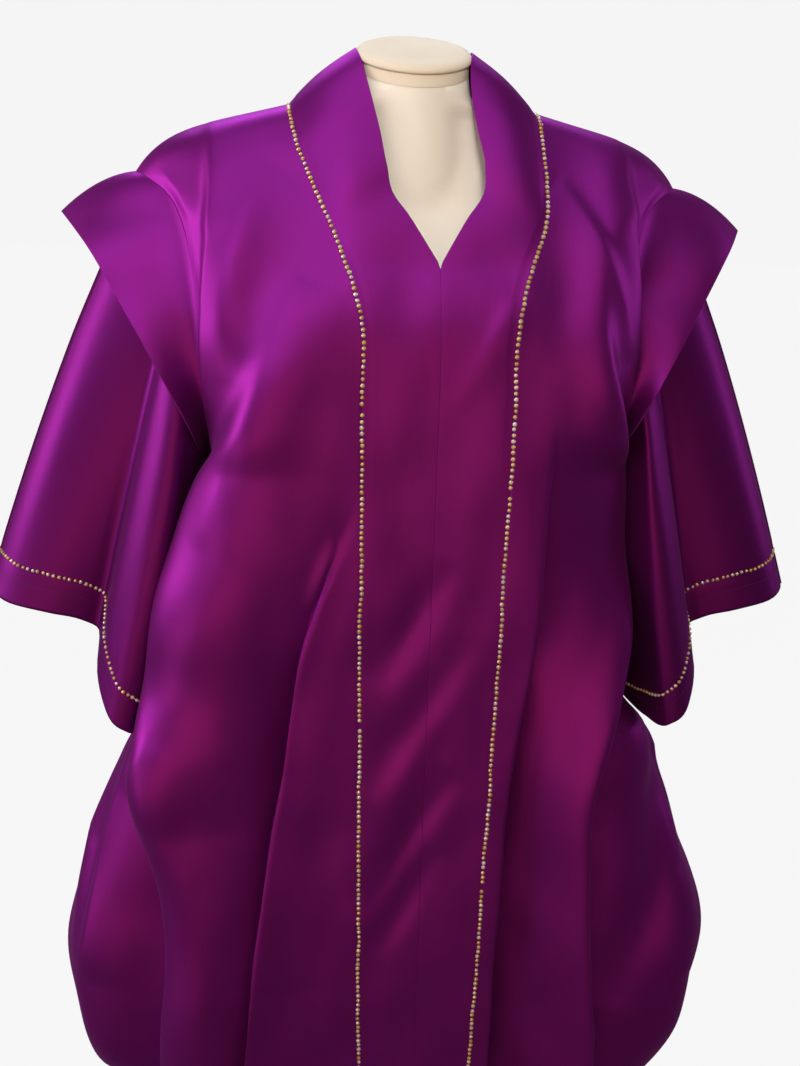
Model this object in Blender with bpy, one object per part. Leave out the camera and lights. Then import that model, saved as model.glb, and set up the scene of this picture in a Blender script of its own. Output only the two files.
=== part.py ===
"""A grand boubou robe in satin, worn by a limbless dress form that stands on a round base.

Metres, +Z up, the robe's front faces -Y, and the origin is the middle of the base's underside.
The body of the robe is one surface round the form, found from a table of sections and a table of
folds. The front, the back and the front bands are cut out of it. The sleeves and their cuffs are
tubes from the armhole to the wrist, and the shoulder wings stand on the armhole seam.
"""

import math

import bmesh
import bpy
import numpy as np

# ---------------------------------------------------------------- driving sizes
CLOTH = 0.002  # the cloth's wall
SEAM = 0.0003  # the gap between two pieces that are sewn together
HALF = SEAM / 2
SIDES = {"left": -1, "right": 1}  # as seen by someone who faces the robe

BAND_SHARE = 0.2  # the share of the front that the band takes, from centre line to side seam
BAND_SHIFT = 0.016  # how far the worn front hangs off centre
SHIFT_TOP, SHIFT_FULL = 1.441, 1.325  # the heights where that shift starts and is complete
V_DROP = 0.195  # the length of front seam from the shoulder down to the point of the V
NECK_DROP = 0.130  # the length of neck seam from the shoulder to the centre back
NOTCH_DROPS = [0.162, 0.175]  # where the neck edge turns towards the point of the V
CUFF_SHARE = 0.908  # where the cuff starts along the sleeve
SLEEVE_INSET = 0.0030  # how far the sleeve's top edge lies inside the armhole
SLEEVE_OUT = 0.0012  # how far that edge stands out sideways from it
SLEEVE_NARROW = 0.90  # how deep that edge is, front to back, as a share of the armhole
SLEEVE_SWELL = 0.007  # how far the sleeve swells out half-way down
SWELL_START = 0.4  # the share of the sleeve over which that swelling begins
ARMHOLE_MIDDLE = (0.222, 0.0, 1.235)
CUFF_PARTING = 0.0006  # half the gap at the cuff's seam, as a share of the sleeve's length
WING_SWELL = 0.006  # how far the wing is crowned between its seam and its free edge
WING_BELOW = (0.25, 0.0, 1.2)  # a point that the wing curves over
SHOULDER_FULL = 0.55  # how square the shoulder's line is
LATE_FALL = 0.45  # how much of the fall of a sloping section comes close to its side
NECK_BLEND = 0.09  # the drop over which the back leaves the line of the neck seam
SIDE_BLEND = 0.12  # how near the side seam the folds turn to stand straight out
BACK_TURN_DROP = 0.02  # the band's outer edge is trimmed more above this drop, behind the neck
BACK_TRIM = 3 * SEAM
EDGE_SKEW = 0.02  # turns the band's swelling forwards at the throat


def table(names, *rows):
    """Rows of numbers as named columns."""
    return {name: np.array(column, float) for name, column in zip(names.split(), zip(*rows))}


# One row for each section of the robe, from the shoulder seam to the hem. drop is the length of
# cloth above it, seam_ is the beaded front seam, side_ is the armhole and then the side seam.
# turn is the direction, in degrees from straight out, in which the front reaches its side, and
# full is how square the section is: 0.55 is an ellipse and 0.8 nearly a box.
SECTIONS = table(
    "drop seam_x seam_y seam_z side_x side_y side_z back_y back_z turn full",
    (0.000, 0.119, 0.000, 1.441, 0.264, 0.000, 1.375, 0.073, 1.428, 0, 0.55),
    (0.023, 0.119, -0.022, 1.434, 0.252, -0.019, 1.370, 0.082, 1.408, 10, 0.55),
    (0.055, 0.117, -0.046, 1.413, 0.230, -0.042, 1.354, 0.092, 1.380, 22, 0.55),
    (0.098, 0.111, -0.072, 1.379, 0.214, -0.067, 1.323, 0.103, 1.342, 35, 0.55),
    (0.139, 0.102, -0.096, 1.345, 0.206, -0.085, 1.287, 0.110, 1.305, 45, 0.55),
    (0.184, 0.088, -0.119, 1.308, 0.201, -0.097, 1.245, 0.115, 1.265, 52, 0.56),
    (0.219, 0.077, -0.137, 1.278, 0.198, -0.100, 1.208, 0.118, 1.233, 58, 0.58),
    (0.256, 0.070, -0.150, 1.245, 0.194, -0.094, 1.170, 0.120, 1.200, 66, 0.62),
    (0.321, 0.069, -0.156, 1.180, 0.190, -0.062, 1.126, 0.122, 1.150, 80, 0.70),
    (0.401, 0.068, -0.156, 1.100, 0.187, 0.000, 1.100, 0.122, 1.100, 92, 0.76),
    (0.481, 0.067, -0.154, 1.020, 0.190, 0.002, 1.020, 0.122, 1.020, 98, 0.80),
    (0.551, 0.067, -0.152, 0.950, 0.196, 0.004, 0.950, 0.123, 0.950, 106, 0.84),
    (0.621, 0.066, -0.151, 0.880, 0.206, 0.006, 0.880, 0.126, 0.880, 113, 0.86),
    (0.656, 0.065, -0.150, 0.845, 0.226, 0.008, 0.845, 0.128, 0.845, 112, 0.84),
    (0.681, 0.065, -0.150, 0.820, 0.256, 0.010, 0.820, 0.129, 0.820, 104, 0.74),
    (0.711, 0.065, -0.150, 0.790, 0.282, 0.010, 0.790, 0.130, 0.790, 96, 0.66),
    (0.751, 0.064, -0.149, 0.750, 0.300, 0.010, 0.750, 0.133, 0.750, 90, 0.60),
    (0.861, 0.062, -0.148, 0.640, 0.340, 0.010, 0.640, 0.136, 0.640, 90, 0.56),
    (0.951, 0.060, -0.148, 0.550, 0.362, 0.010, 0.550, 0.138, 0.550, 90, 0.55),
    (1.031, 0.058, -0.147, 0.470, 0.352, 0.010, 0.470, 0.138, 0.470, 90, 0.55),
    (1.121, 0.057, -0.145, 0.380, 0.310, 0.008, 0.380, 0.136, 0.380, 90, 0.56),
    (1.251, 0.056, -0.142, 0.250, 0.266, 0.006, 0.250, 0.133, 0.250, 90, 0.57),
    (1.381, 0.055, -0.140, 0.120, 0.242, 0.004, 0.120, 0.130, 0.120, 90, 0.58),
    (1.471, 0.055, -0.140, 0.030, 0.234, 0.004, 0.030, 0.130, 0.030, 90, 0.58),
)
HEM_DROP = SECTIONS["drop"][-1]
ARM_DROP = 0.401  # the drop of the row where the armhole ends and the side seam starts

# The standing collar and the neck opening: one row for each place down the band, from the centre
# back (-NECK_DROP) past the shoulder (0) to the point of the V. edge_ is the free neck edge.
# seam_ is the neck seam behind the shoulder, and bow is how far the band swells outwards.
COLLAR = table(
    "drop edge_x edge_y edge_z seam_x seam_y seam_z bow",
    (-0.130, 0.0000, 0.0640, 1.485, 0.000, 0.073, 1.428, 0.001),
    (-0.095, 0.0300, 0.0575, 1.487, 0.048, 0.069, 1.430, 0.001),
    (-0.060, 0.0485, 0.0390, 1.490, 0.088, 0.050, 1.434, 0.002),
    (-0.028, 0.0570, 0.0180, 1.493, 0.110, 0.024, 1.438, 0.003),
    (0.000, 0.0584, 0.0000, 1.493, 0.119, 0.000, 1.441, 0.004),
    (0.023, 0.0575, -0.0200, 1.482, 0.119, -0.022, 1.434, 0.005),
    (0.055, 0.0535, -0.0400, 1.457, 0.117, -0.046, 1.413, 0.006),
    (0.098, 0.0490, -0.0620, 1.420, 0.111, -0.072, 1.379, 0.007),
    (0.139, 0.0450, -0.0820, 1.385, 0.102, -0.096, 1.345, 0.006),
    (0.162, 0.0400, -0.0940, 1.359, 0.095, -0.107, 1.326, 0.004),
    (0.175, 0.0270, -0.1040, 1.342, 0.091, -0.114, 1.316, 0.003),
    (0.195, 0.0000, -0.1247, 1.299, 0.0845, -0.1247, 1.299, 0.000),
)

# Folds of the body, one row each. x_ is the place of the fold at each height, negative on the
# left; the fold runs from top down to low. inner and outer are its half-widths towards the middle
# and away from it, stand is how far it stands out (a trough is negative), and lean is how far its
# crest is pushed away from the middle.
FOLD_HEIGHTS = np.array([1.28, 1.10, 0.95, 0.80, 0.65, 0.45, 0.03])
FOLD_COLUMNS = "x128 x110 x095 x080 x065 x045 x003 top low inner outer stand lean"
FRONT_FOLDS = table(
    FOLD_COLUMNS,
    # left front: the hollow beside the middle, the long bulge, the hollow behind it, the side
    (-0.050, -0.070, -0.124, -0.146, -0.164, -0.182, -0.175, 1.07, 0.00, 0.030, 0.050, -0.036, -0.005),
    (-0.105, -0.158, -0.206, -0.216, -0.208, -0.218, -0.190, 1.33, 0.00, 0.050, 0.030, 0.024, 0.005),
    (-0.200, -0.230, -0.262, -0.262, -0.258, -0.268, -0.214, 0.88, 0.00, 0.030, 0.035, -0.024, -0.004),
    (-0.200, -0.230, -0.270, -0.300, -0.330, -0.325, -0.230, 0.86, 0.20, 0.035, 0.030, 0.010, 0.000),
    (-0.168, -0.190, -0.205, -0.200, -0.200, -0.200, -0.200, 1.40, 1.00, 0.030, 0.030, 0.010, 0.000),
    # right front: hollow, ridge, hollow, side
    (0.100, 0.128, 0.136, 0.126, 0.120, 0.118, 0.110, 1.14, 0.00, 0.030, 0.050, -0.030, -0.004),
    (0.152, 0.178, 0.192, 0.182, 0.182, 0.192, 0.165, 1.36, 0.00, 0.045, 0.030, 0.018, 0.004),
    (0.200, 0.225, 0.238, 0.216, 0.220, 0.232, 0.195, 0.96, 0.00, 0.030, 0.040, -0.026, -0.005),
    (0.200, 0.235, 0.262, 0.285, 0.300, 0.310, 0.225, 0.94, 0.20, 0.040, 0.040, 0.010, 0.000),
    (0.178, 0.196, 0.205, 0.200, 0.200, 0.200, 0.200, 1.40, 1.00, 0.030, 0.030, 0.008, 0.000),
    # soft drag lines across the band
    (0.090, 0.040, -0.020, -0.060, -0.060, -0.060, -0.060, 1.25, 0.90, 0.030, 0.030, 0.005, 0.000),
    (0.070, 0.070, 0.040, -0.030, -0.060, -0.060, -0.060, 1.02, 0.70, 0.030, 0.030, 0.005, 0.000),
    (0.060, 0.060, 0.060, 0.050, 0.000, -0.040, -0.050, 0.78, 0.40, 0.030, 0.030, 0.006, 0.000),
)
BACK_FOLDS = table(
    FOLD_COLUMNS,
    (-0.030, -0.035, -0.040, -0.045, -0.050, -0.055, -0.055, 1.24, 0.00, 0.030, 0.030, 0.016, 0.000),
    (-0.070, -0.080, -0.090, -0.095, -0.100, -0.105, -0.100, 1.16, 0.00, 0.030, 0.030, -0.022, 0.000),
    (-0.110, -0.130, -0.145, -0.155, -0.165, -0.170, -0.150, 1.28, 0.00, 0.034, 0.030, 0.020, 0.000),
    (-0.150, -0.165, -0.185, -0.205, -0.220, -0.225, -0.190, 1.04, 0.00, 0.030, 0.034, -0.022, 0.000),
    (-0.170, -0.180, -0.205, -0.250, -0.280, -0.275, -0.215, 0.96, 0.20, 0.034, 0.030, 0.016, 0.000),
    (0.015, 0.010, 0.010, 0.005, 0.005, 0.000, 0.000, 1.10, 0.00, 0.030, 0.030, -0.016, 0.000),
    (0.050, 0.055, 0.060, 0.062, 0.066, 0.068, 0.060, 1.26, 0.00, 0.030, 0.030, 0.018, 0.000),
    (0.090, 0.100, 0.110, 0.118, 0.124, 0.126, 0.110, 1.14, 0.00, 0.030, 0.030, -0.022, 0.000),
    (0.130, 0.145, 0.160, 0.175, 0.188, 0.188, 0.155, 1.28, 0.00, 0.034, 0.030, 0.020, 0.000),
    (0.155, 0.170, 0.190, 0.215, 0.232, 0.236, 0.195, 1.02, 0.00, 0.030, 0.034, -0.020, 0.000),
    (0.170, 0.182, 0.210, 0.255, 0.290, 0.285, 0.218, 0.96, 0.20, 0.034, 0.030, 0.014, 0.000),
)
FOLD_GROWTH = 0.30  # the height over which a fold grows from nothing to its full stand
FOLD_FADE = 0.20  # the height over which a fold that ends above the hem dies away

# The sleeve: one row for each line that runs down it, with its place on the armhole (0 is the
# shoulder, -1 the underarm by the front, 1 by the back) and its end at the cuff's edge.
SLEEVE = table(
    "armhole x y z",
    (0.00, 0.424, 0.000, 0.962),
    (-0.07, 0.404, -0.032, 0.956),
    (-0.14, 0.364, -0.044, 0.951),
    (-0.20, 0.330, -0.040, 0.944),
    (-0.25, 0.311, -0.030, 0.928),
    (-0.30, 0.306, -0.070, 0.892),
    (-0.36, 0.295, -0.092, 0.862),
    (-0.46, 0.276, -0.086, 0.843),
    (-0.62, 0.262, -0.062, 0.836),
    (-0.80, 0.252, -0.030, 0.838),
    (-1.00, 0.248, 0.006, 0.842),
    (-1.20, 0.254, 0.040, 0.844),
    (-1.38, 0.276, 0.070, 0.860),
    (-1.54, 0.306, 0.074, 0.888),
    (-1.66, 0.336, 0.072, 0.916),
    (-1.80, 0.372, 0.060, 0.942),
    (-1.91, 0.408, 0.034, 0.957),
)

# The free edge of the shoulder wing, one row for each place on the armhole, front half.
WING = table(
    "armhole x y z",
    (0.00, 0.335, 0.000, 1.336),
    (0.10, 0.319, -0.032, 1.322),
    (0.22, 0.300, -0.060, 1.301),
    (0.36, 0.275, -0.082, 1.262),
    (0.50, 0.250, -0.104, 1.222),
    (0.64, 0.226, -0.113, 1.180),
    (0.76, 0.209, -0.106, 1.146),
    (0.86, 0.202, -0.080, 1.120),
)

# The dress form, one row for each ring from its foot to the neck.
FORM = table(
    "z half front back square",
    (0.800, 0.140, 0.085, 0.085, 2.2),
    (0.806, 0.156, 0.100, 0.100, 2.2),
    (0.840, 0.164, 0.106, 0.108, 2.2),
    (0.920, 0.160, 0.100, 0.106, 2.2),
    (1.020, 0.132, 0.088, 0.086, 2.2),
    (1.120, 0.142, 0.104, 0.088, 2.2),
    (1.200, 0.152, 0.118, 0.090, 2.2),
    (1.260, 0.164, 0.106, 0.090, 2.1),
    (1.310, 0.178, 0.078, 0.080, 2.0),
    (1.345, 0.190, 0.058, 0.068, 1.8),
    (1.370, 0.196, 0.046, 0.058, 1.6),
    (1.392, 0.198, 0.040, 0.052, 1.4),
    (1.408, 0.198, 0.038, 0.050, 1.25),
)
SHOULDER_GAP = 0.0006  # the room between the form's shoulder and the cloth that lies on it
# The top of the form: rings whose half-width is read from the cloth's shoulder line, then the
# rings that draw in to the neck.
FORM_SHOULDER = table("z depth square", (1.418, 0.042, 1.0), (1.428, 0.044, 1.0), (1.434, 0.046, 1.05))
FORM_NECK = table(
    "z half front back square",
    (1.440, 0.086, 0.049, 0.049, 1.6),
    (1.446, 0.066, 0.051, 0.051, 1.8),
    (1.452, 0.056, 0.0518, 0.0518, 2.0),
)
NECK_R = 0.0525
NECK_TOP_Z = 1.474
CAP = table("up radius", (0.0, 0.050), (0.003, 0.0545), (0.010, 0.0555), (0.016, 0.053), (0.020, 0.046))
CAP_TILT = math.radians(20)

POLE_R = 0.014
BASE_R = 0.155
BASE_THICK = 0.012
BASE_BEVEL_Z = 0.008  # where the base plate's rim starts to slope
BASE_BEVEL = 0.006

SATIN = (0.25, 0.015, 0.20)
SATIN_ROUGH = 0.38
PLASTIC = (0.74, 0.62, 0.47)
PLASTIC_ROUGH = 0.45
STEEL = (0.55, 0.55, 0.56)
STEEL_ROUGH = 0.30
SHARP_ANGLE = math.radians(50)

# How finely each piece is divided. The pieces that meet at a seam share the rows along it.
NECK_ROWS = np.linspace(-NECK_DROP, 0, 7)[:-1]
ARM_ROWS = np.concatenate(
    [np.linspace(0, NOTCH_DROPS[0], 6), NOTCH_DROPS[1:], np.linspace(V_DROP, ARM_DROP, 6)]
)
BODY_ROWS = np.concatenate([ARM_ROWS, np.linspace(ARM_DROP, HEM_DROP, 15)[1:]])
WING_ROWS = 11
PANEL_ACROSS, BACK_ACROSS, BAND_ACROSS, WING_ACROSS = 17, 29, 3, 3
SLEEVE_DOWN, CUFF_DOWN = 7, 2
FORM_ROUND, BASE_ROUND, POLE_ROUND = 26, 40, 20
LINE_COUNT, BAND_COUNT, NECK_COUNT = 61, 13, 40  # points on the lines that sections are read from


# ---------------------------------------------------------------- curves through the tables
def through(keys, values, at):
    """A smooth curve through the points of a table, read at one or more places."""
    keys, values, at = np.asarray(keys), np.asarray(values), np.asarray(at, float)
    slope = np.gradient(values, keys)
    i = np.clip(np.searchsorted(keys, at, side="right") - 1, 0, len(keys) - 2)
    step = keys[i + 1] - keys[i]
    t = (at - keys[i]) / step
    start = (2 * t**3 - 3 * t**2 + 1) * values[i] + (t**3 - 2 * t**2 + t) * step * slope[i]
    end = (3 * t**2 - 2 * t**3) * values[i + 1] + (t**3 - t**2) * step * slope[i + 1]
    return start + end


def read(rows, column, at, key="drop"):
    return through(rows[key], rows[column], at)


def points(rows, columns, at, key="drop"):
    return np.stack([read(rows, column, at, key) for column in columns.split()], axis=-1)


def ease(t):
    t = np.clip(t, 0, 1)
    return t * t * (3 - 2 * t)


def unit(v):
    return v / np.maximum(np.linalg.norm(v, axis=-1, keepdims=True), 1e-12)


def band_shift(z):
    return BAND_SHIFT * ease((SHIFT_TOP - z) / (SHIFT_TOP - SHIFT_FULL))


# ---------------------------------------------------------------- the body of the robe
def fold_place(folds, z):
    """Where each fold lies at one height."""
    xs = [folds[name] for name in FOLD_COLUMNS.split()[: len(FOLD_HEIGHTS)]]
    return np.array([np.interp(z, FOLD_HEIGHTS[::-1], path[::-1]) for path in zip(*xs)])


def fold_moves(folds, side, along, z, line, level):
    """How far the folds carry the cloth out and sideways, at lengths along one half section."""
    out, sideways = np.zeros(len(along)), np.zeros(len(along))
    rise = np.argmax(line[:, 0])
    length = np.concatenate([[0], np.cumsum(np.linalg.norm(np.diff(line, axis=0), axis=1))])
    for i, x in enumerate(fold_place(folds, level)):
        centre = np.sign(x) * np.interp(abs(x), line[: rise + 1, 0], length[: rise + 1])
        away = (side * along - centre) * np.sign(x)
        width = np.where(away < 0, folds["inner"][i], folds["outer"][i])
        shape = np.exp(-((away / width) ** 2)) * ease((folds["top"][i] - z) / FOLD_GROWTH)
        if folds["low"][i] > 0:
            shape = shape * ease((z - folds["low"][i]) / FOLD_FADE)
        out += folds["stand"][i] * shape
        sideways += folds["lean"][i] * shape * side * np.sign(x)
    return out, sideways


def quarter(start, end, turn, full, late):
    """A quarter section, level with x at its start and turned back by an angle at its end."""
    start, end = np.asarray(start, float), np.asarray(end, float)
    back = np.sign(end[1] - start[1]) or 1.0
    way = np.array([math.cos(turn), back * math.sin(turn)])
    width, depth = end[0] - start[0], abs(end[1] - start[1])
    reach = full * (width * max(way[0], 0) + depth * abs(way[1]))
    posts = np.array([start[:2], start[:2] + [full * width, 0], end[:2] - reach * way, end[:2]])
    t = np.linspace(0, 1, LINE_COUNT)[:, None]
    line = sum(
        weight * post
        for weight, post in zip(((1 - t) ** 3, 3 * t * (1 - t) ** 2, 3 * t * t * (1 - t), t**3), posts)
    )
    out = np.clip((line[:, 0] - start[0]) / width, 0, 1)
    fall = (1 - late) * out + late * out**6
    return np.column_stack([line, start[2] + (end[2] - start[2]) * fall])


def read_line(line, length_at):
    """Points at these lengths along a line, and the line's level direction there."""
    length = np.concatenate([[0], np.cumsum(np.linalg.norm(np.diff(line, axis=0), axis=1))])
    place = np.stack([np.interp(length_at, length, line[:, k]) for k in range(3)], axis=1)
    run = unit(np.gradient(line[:, :2], length, axis=0))
    return place, unit(np.stack([np.interp(length_at, length, run[:, k]) for k in range(2)], axis=1))


def line_length(line):
    return float(np.linalg.norm(np.diff(line, axis=0), axis=1).sum())


def section(drop):
    """The robe's plain half section: its front from the centre line, its back from the centre."""
    seam = points(SECTIONS, "seam_x seam_y seam_z", drop)
    side = points(SECTIONS, "side_x side_y side_z", drop)
    centre_back = np.array([0, read(SECTIONS, "back_y", drop), read(SECTIONS, "back_z", drop)])
    turn, full = math.radians(read(SECTIONS, "turn", drop)), float(read(SECTIONS, "full", drop))
    late = LATE_FALL if drop < ARM_DROP else 0.0
    middle = np.linspace(seam * [0, 1, 1], seam, BAND_COUNT)
    front = np.concatenate([middle, quarter(seam, side, turn, full, late)[1:]])
    behind = side * [1, -1 if drop < ARM_DROP else 1, 1]
    back = quarter(centre_back, behind, turn, full, late)
    if drop < NECK_BLEND:
        shares = np.linspace(0, 1, len(back))
        back += (neck_and_shoulder(shares) - back) * (1 - ease(drop / NECK_BLEND)) ** 1.5
    return front, back, float(seam[0])


def shoulder_line():
    """The shoulder seam, from the neck seam to the armhole."""
    seam, side = points(SECTIONS, "seam_x seam_y seam_z", 0), points(SECTIONS, "side_x side_y side_z", 0)
    return quarter(seam, side, 0.0, SHOULDER_FULL, LATE_FALL)


def neck_and_shoulder(shares):
    """The top edge of the back: half the neck seam and then the shoulder seam."""
    neck = points(COLLAR, "seam_x seam_y seam_z", np.linspace(-NECK_DROP, 0, NECK_COUNT))
    line = np.concatenate([neck, shoulder_line()[1:]])
    return read_line(line, shares * line_length(line))[0]


def body(around, drops):
    """The robe's outer surface at each drop and place round it, negative places on the left."""
    around = np.asarray(around, float)
    place_on = np.abs(around)
    side = np.where(around < 0, -1.0, 1.0)
    grid = []
    for drop in drops:
        front, back, seam_x = section(drop)
        front_length, back_length = line_length(front), line_length(back)
        beyond = np.clip((place_on - BAND_SHARE) / (1 - BAND_SHARE), 0, 1)
        along = np.minimum(place_on / BAND_SHARE, 1) * seam_x + beyond * (front_length - seam_x)
        to_back = (2 - place_on) * back_length
        behind = place_on > 1
        along = np.where(behind, front_length + back_length - to_back, along)
        to_back = np.where(behind, to_back, front_length + back_length - along)
        place, run = read_line(front, np.minimum(along, front_length))
        rear, rear_run = read_line(back, np.minimum(to_back, back_length))
        place[behind], run[behind] = rear[behind], -rear_run[behind]
        if drop >= ARM_DROP:
            near_side = ease(1 - np.abs(place_on - 1) / SIDE_BLEND)[:, None]
            run = unit(run * (1 - near_side) + [0, 1] * near_side)
        level = float(read(SECTIONS, "seam_z", drop))
        shift = band_shift(level) * np.clip((1 - place_on) / (1 - BAND_SHARE), 0, 1)
        moves = np.zeros((2, len(around)))
        for sign in (-1.0, 1.0):
            on = side == sign
            mine = along[on], place[on, 2]
            moves[:, on] += fold_moves(FRONT_FOLDS, sign, *mine, front, level)
            mine = to_back[on], place[on, 2]
            out, lean = fold_moves(BACK_FOLDS, sign, *mine, back, level)
            moves[:, on] += out, -lean
        outward = np.column_stack([run[:, 1], -run[:, 0]])
        place[:, :2] += outward * moves[0][:, None] + run * moves[1][:, None]
        place[:, 0] = place[:, 0] * side + shift
        grid.append(place)
    return np.array(grid)


# ---------------------------------------------------------------- band, sleeve and wing surfaces
def band(side, shares, drops):
    """The band on one side, from its free or centre edge (share 0) to the beaded seam (share 1)."""
    grid = []
    for drop in drops:
        if drop >= V_DROP:
            row = body(side * np.maximum(BAND_SHARE * shares, 1e-9), [drop])[0]
        else:
            edge = points(COLLAR, "edge_x edge_y edge_z", drop)
            seam = points(SECTIONS if drop >= 0 else COLLAR, "seam_x seam_y seam_z", drop)
            outward = unit(np.cross(seam - edge, [edge[1], -edge[0] - EDGE_SKEW, 0.0]))
            swell = float(read(COLLAR, "bow", drop)) * np.sin(np.pi * shares)
            row = edge + np.outer(shares, seam - edge)
            row += np.outer(swell, outward * np.sign(outward[2]))
            row *= [side, 1, 1]
            if drop >= 0:
                row[:, 0] += band_shift(float(seam[2]))
                row += np.outer(shares, body([side * BAND_SHARE], [drop])[0][0] - row[-1])
        grid.append(row)
    return np.array(grid)


def armhole(side, place):
    """Points on the armhole seam: place 0 is the shoulder, -1 the underarm, -2 the shoulder again."""
    place = np.asarray(place, float)
    place = np.where(place < -1, place + 2, place)
    places = []
    for one in place:
        around = 1.0 if one <= 0 else 1.0 + 1e-9
        places.append(body([side * around], [abs(one) * ARM_DROP])[0][0])
    return np.array(places)


def sleeve(side, places, downs):
    """The sleeve's outer surface, at places round the armhole (0 to -2) and downs from 0 to 1."""
    rows = len(SLEEVE["armhole"])
    keys = np.arange(-3, rows + 4)
    lap = SLEEVE["armhole"][keys % rows] - 2.0 * (keys // rows)
    cuff = [through(-lap, SLEEVE[c][keys % rows], -np.asarray(places)) for c in "xyz"]
    cuff = np.stack(cuff, axis=1) * [side, 1, 1]
    top = armhole(side, places)
    inwards = unit(np.array(ARMHOLE_MIDDLE) * [side, 1, 1] - top)
    top += inwards * SLEEVE_INSET + [side * SLEEVE_OUT, 0, 0]
    top[:, 1] *= SLEEVE_NARROW
    grid = []
    for down in downs:
        row = top + (cuff - top) * down
        swell = SLEEVE_SWELL * math.sin(math.pi * down) * ease(down / SWELL_START)
        grid.append(row + unit(row - row.mean(axis=0)) * swell)
    return np.array(grid)


def wing(side, acrosses, alongs):
    """The shoulder wing, from the armhole seam (across 0) to its free edge (across 1)."""
    alongs = np.asarray(alongs)
    root = armhole(side, alongs)
    edge = points(WING, "x y z", np.abs(alongs), "armhole") * [side, 1, 1]
    edge[:, 1] *= np.where(alongs > 0, -1, 1)
    run = unit(edge - root)
    grid = []
    for across in acrosses:
        row = root + run * SEAM + (edge - root) * across
        crown = WING_SWELL * math.sin(math.pi * across)
        row[:, 2] += crown * (1 - np.abs(alongs) / np.abs(alongs).max())
        grid.append(row)
    return np.array(grid).transpose(1, 0, 2)


# ---------------------------------------------------------------- making the solids
def surface_normals(grid, middle, wrapped=False):
    """Unit normals of a grid of points, pointing away from the middle."""
    across = np.gradient(grid, axis=1)
    if wrapped:
        ring = np.concatenate([grid[:, -2:-1], grid, grid[:, 1:2]], axis=1)
        across = np.gradient(ring, axis=1)[:, 1:-1]
    normals = unit(np.cross(across, np.gradient(grid, axis=0)))
    return normals * np.sign(np.sum(normals * (grid - middle)))


def level_at_seam(normals, edge, axis):
    """Turns the normals at a seam to lie in the seam's own plane, so that both walls part there."""
    normals[edge + (axis,)] = 0
    normals[edge] = unit(normals[edge])


def material(name, colour, roughness, metallic=0.0):
    made = bpy.data.materials.get(name) or bpy.data.materials.new(name)
    made.use_nodes = True
    shader = made.node_tree.nodes["Principled BSDF"]
    shader.inputs["Base Color"].default_value = (*colour, 1)
    shader.inputs["Roughness"].default_value = roughness
    shader.inputs["Metallic"].default_value = metallic
    return made


def finish(bm, name, look):
    bmesh.ops.recalc_face_normals(bm, faces=bm.faces)
    mesh = bpy.data.meshes.new(name)
    bm.to_mesh(mesh)
    bm.free()
    mesh.shade_smooth()
    mesh.set_sharp_from_angle(angle=SHARP_ANGLE)
    mesh.materials.append(look)
    made = bpy.data.objects.new(name, mesh)
    bpy.context.scene.collection.objects.link(made)
    return made


def cloth_wall(name, outside, normals, look, wrapped=False):
    """A closed wall: a flat grid laid on the outer points, thickened towards the inside."""
    rows, columns = outside.shape[:2]
    bm = bmesh.new()
    inner = bm.verts.layers.float_vector.new("inner")
    bmesh.ops.create_grid(bm, x_segments=columns - 1, y_segments=rows - 1, size=1)
    for vert in bm.verts:
        i = round((vert.co.x + 1) / 2 * (columns - 1))
        j = round((vert.co.y + 1) / 2 * (rows - 1))
        if wrapped:
            i %= columns - 1
        vert.co = outside[j, i]
        vert[inner] = outside[j, i] - normals[j, i] * CLOTH
    if wrapped:
        bmesh.ops.remove_doubles(bm, verts=bm.verts, dist=1e-6)
    made = bmesh.ops.extrude_face_region(bm, geom=bm.faces[:])
    for vert in made["geom"]:
        if isinstance(vert, bmesh.types.BMVert):
            vert.co = vert[inner]
    return finish(bm, name, look)


def front_panel(name, side, look):
    grid = body(side * np.linspace(BAND_SHARE, 1, PANEL_ACROSS + 1), BODY_ROWS)
    normals = surface_normals(grid, grid * [0, 0, 1])
    below = BODY_ROWS >= ARM_DROP
    level_at_seam(normals, (slice(None), 0), 0)
    level_at_seam(normals, (below, -1), 1)
    level_at_seam(normals, (0, slice(None)), 1)
    grid[:, 0, 0] += side * HALF
    grid[below, -1, 1] -= HALF
    grid[0, :, 1] -= HALF
    return cloth_wall(name, grid, normals, look)


def back_panel(name, look):
    around = np.linspace(1 + 1e-9, 3 - 1e-9, BACK_ACROSS + 1)
    grid = body(np.where(around > 2, around - 4, around), BODY_ROWS)
    normals = surface_normals(grid, grid * [0, 0, 1])
    below = BODY_ROWS >= ARM_DROP
    for edge in (0, -1):
        level_at_seam(normals, (below, edge), 1)
        grid[below, edge, 1] += HALF
    level_at_seam(normals, (0, slice(None)), 1)
    grid[0, :, 1] += HALF
    return cloth_wall(name, grid, normals, look)


def front_band(name, side, look):
    drops = np.concatenate([NECK_ROWS, BODY_ROWS])
    grid = band(side, np.linspace(0, 1, BAND_ACROSS + 1), drops)
    normals = surface_normals(grid, grid * [0, 0, 1])
    closed = drops >= V_DROP
    level_at_seam(normals, (closed, 0), 0)
    level_at_seam(normals, (drops > 0, -1), 0)
    level_at_seam(normals, (drops <= 0, -1), 2)
    level_at_seam(normals, (0, slice(None)), 0)
    inset = np.where(drops > BACK_TURN_DROP, HALF, BACK_TRIM)[:, None]
    grid[:, -1] += unit(grid[:, -2] - grid[:, -1]) * inset
    grid[closed, 0, 0] += side * HALF
    grid[0, :, 0] = side * HALF
    return cloth_wall(name, grid, normals, look)


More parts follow.
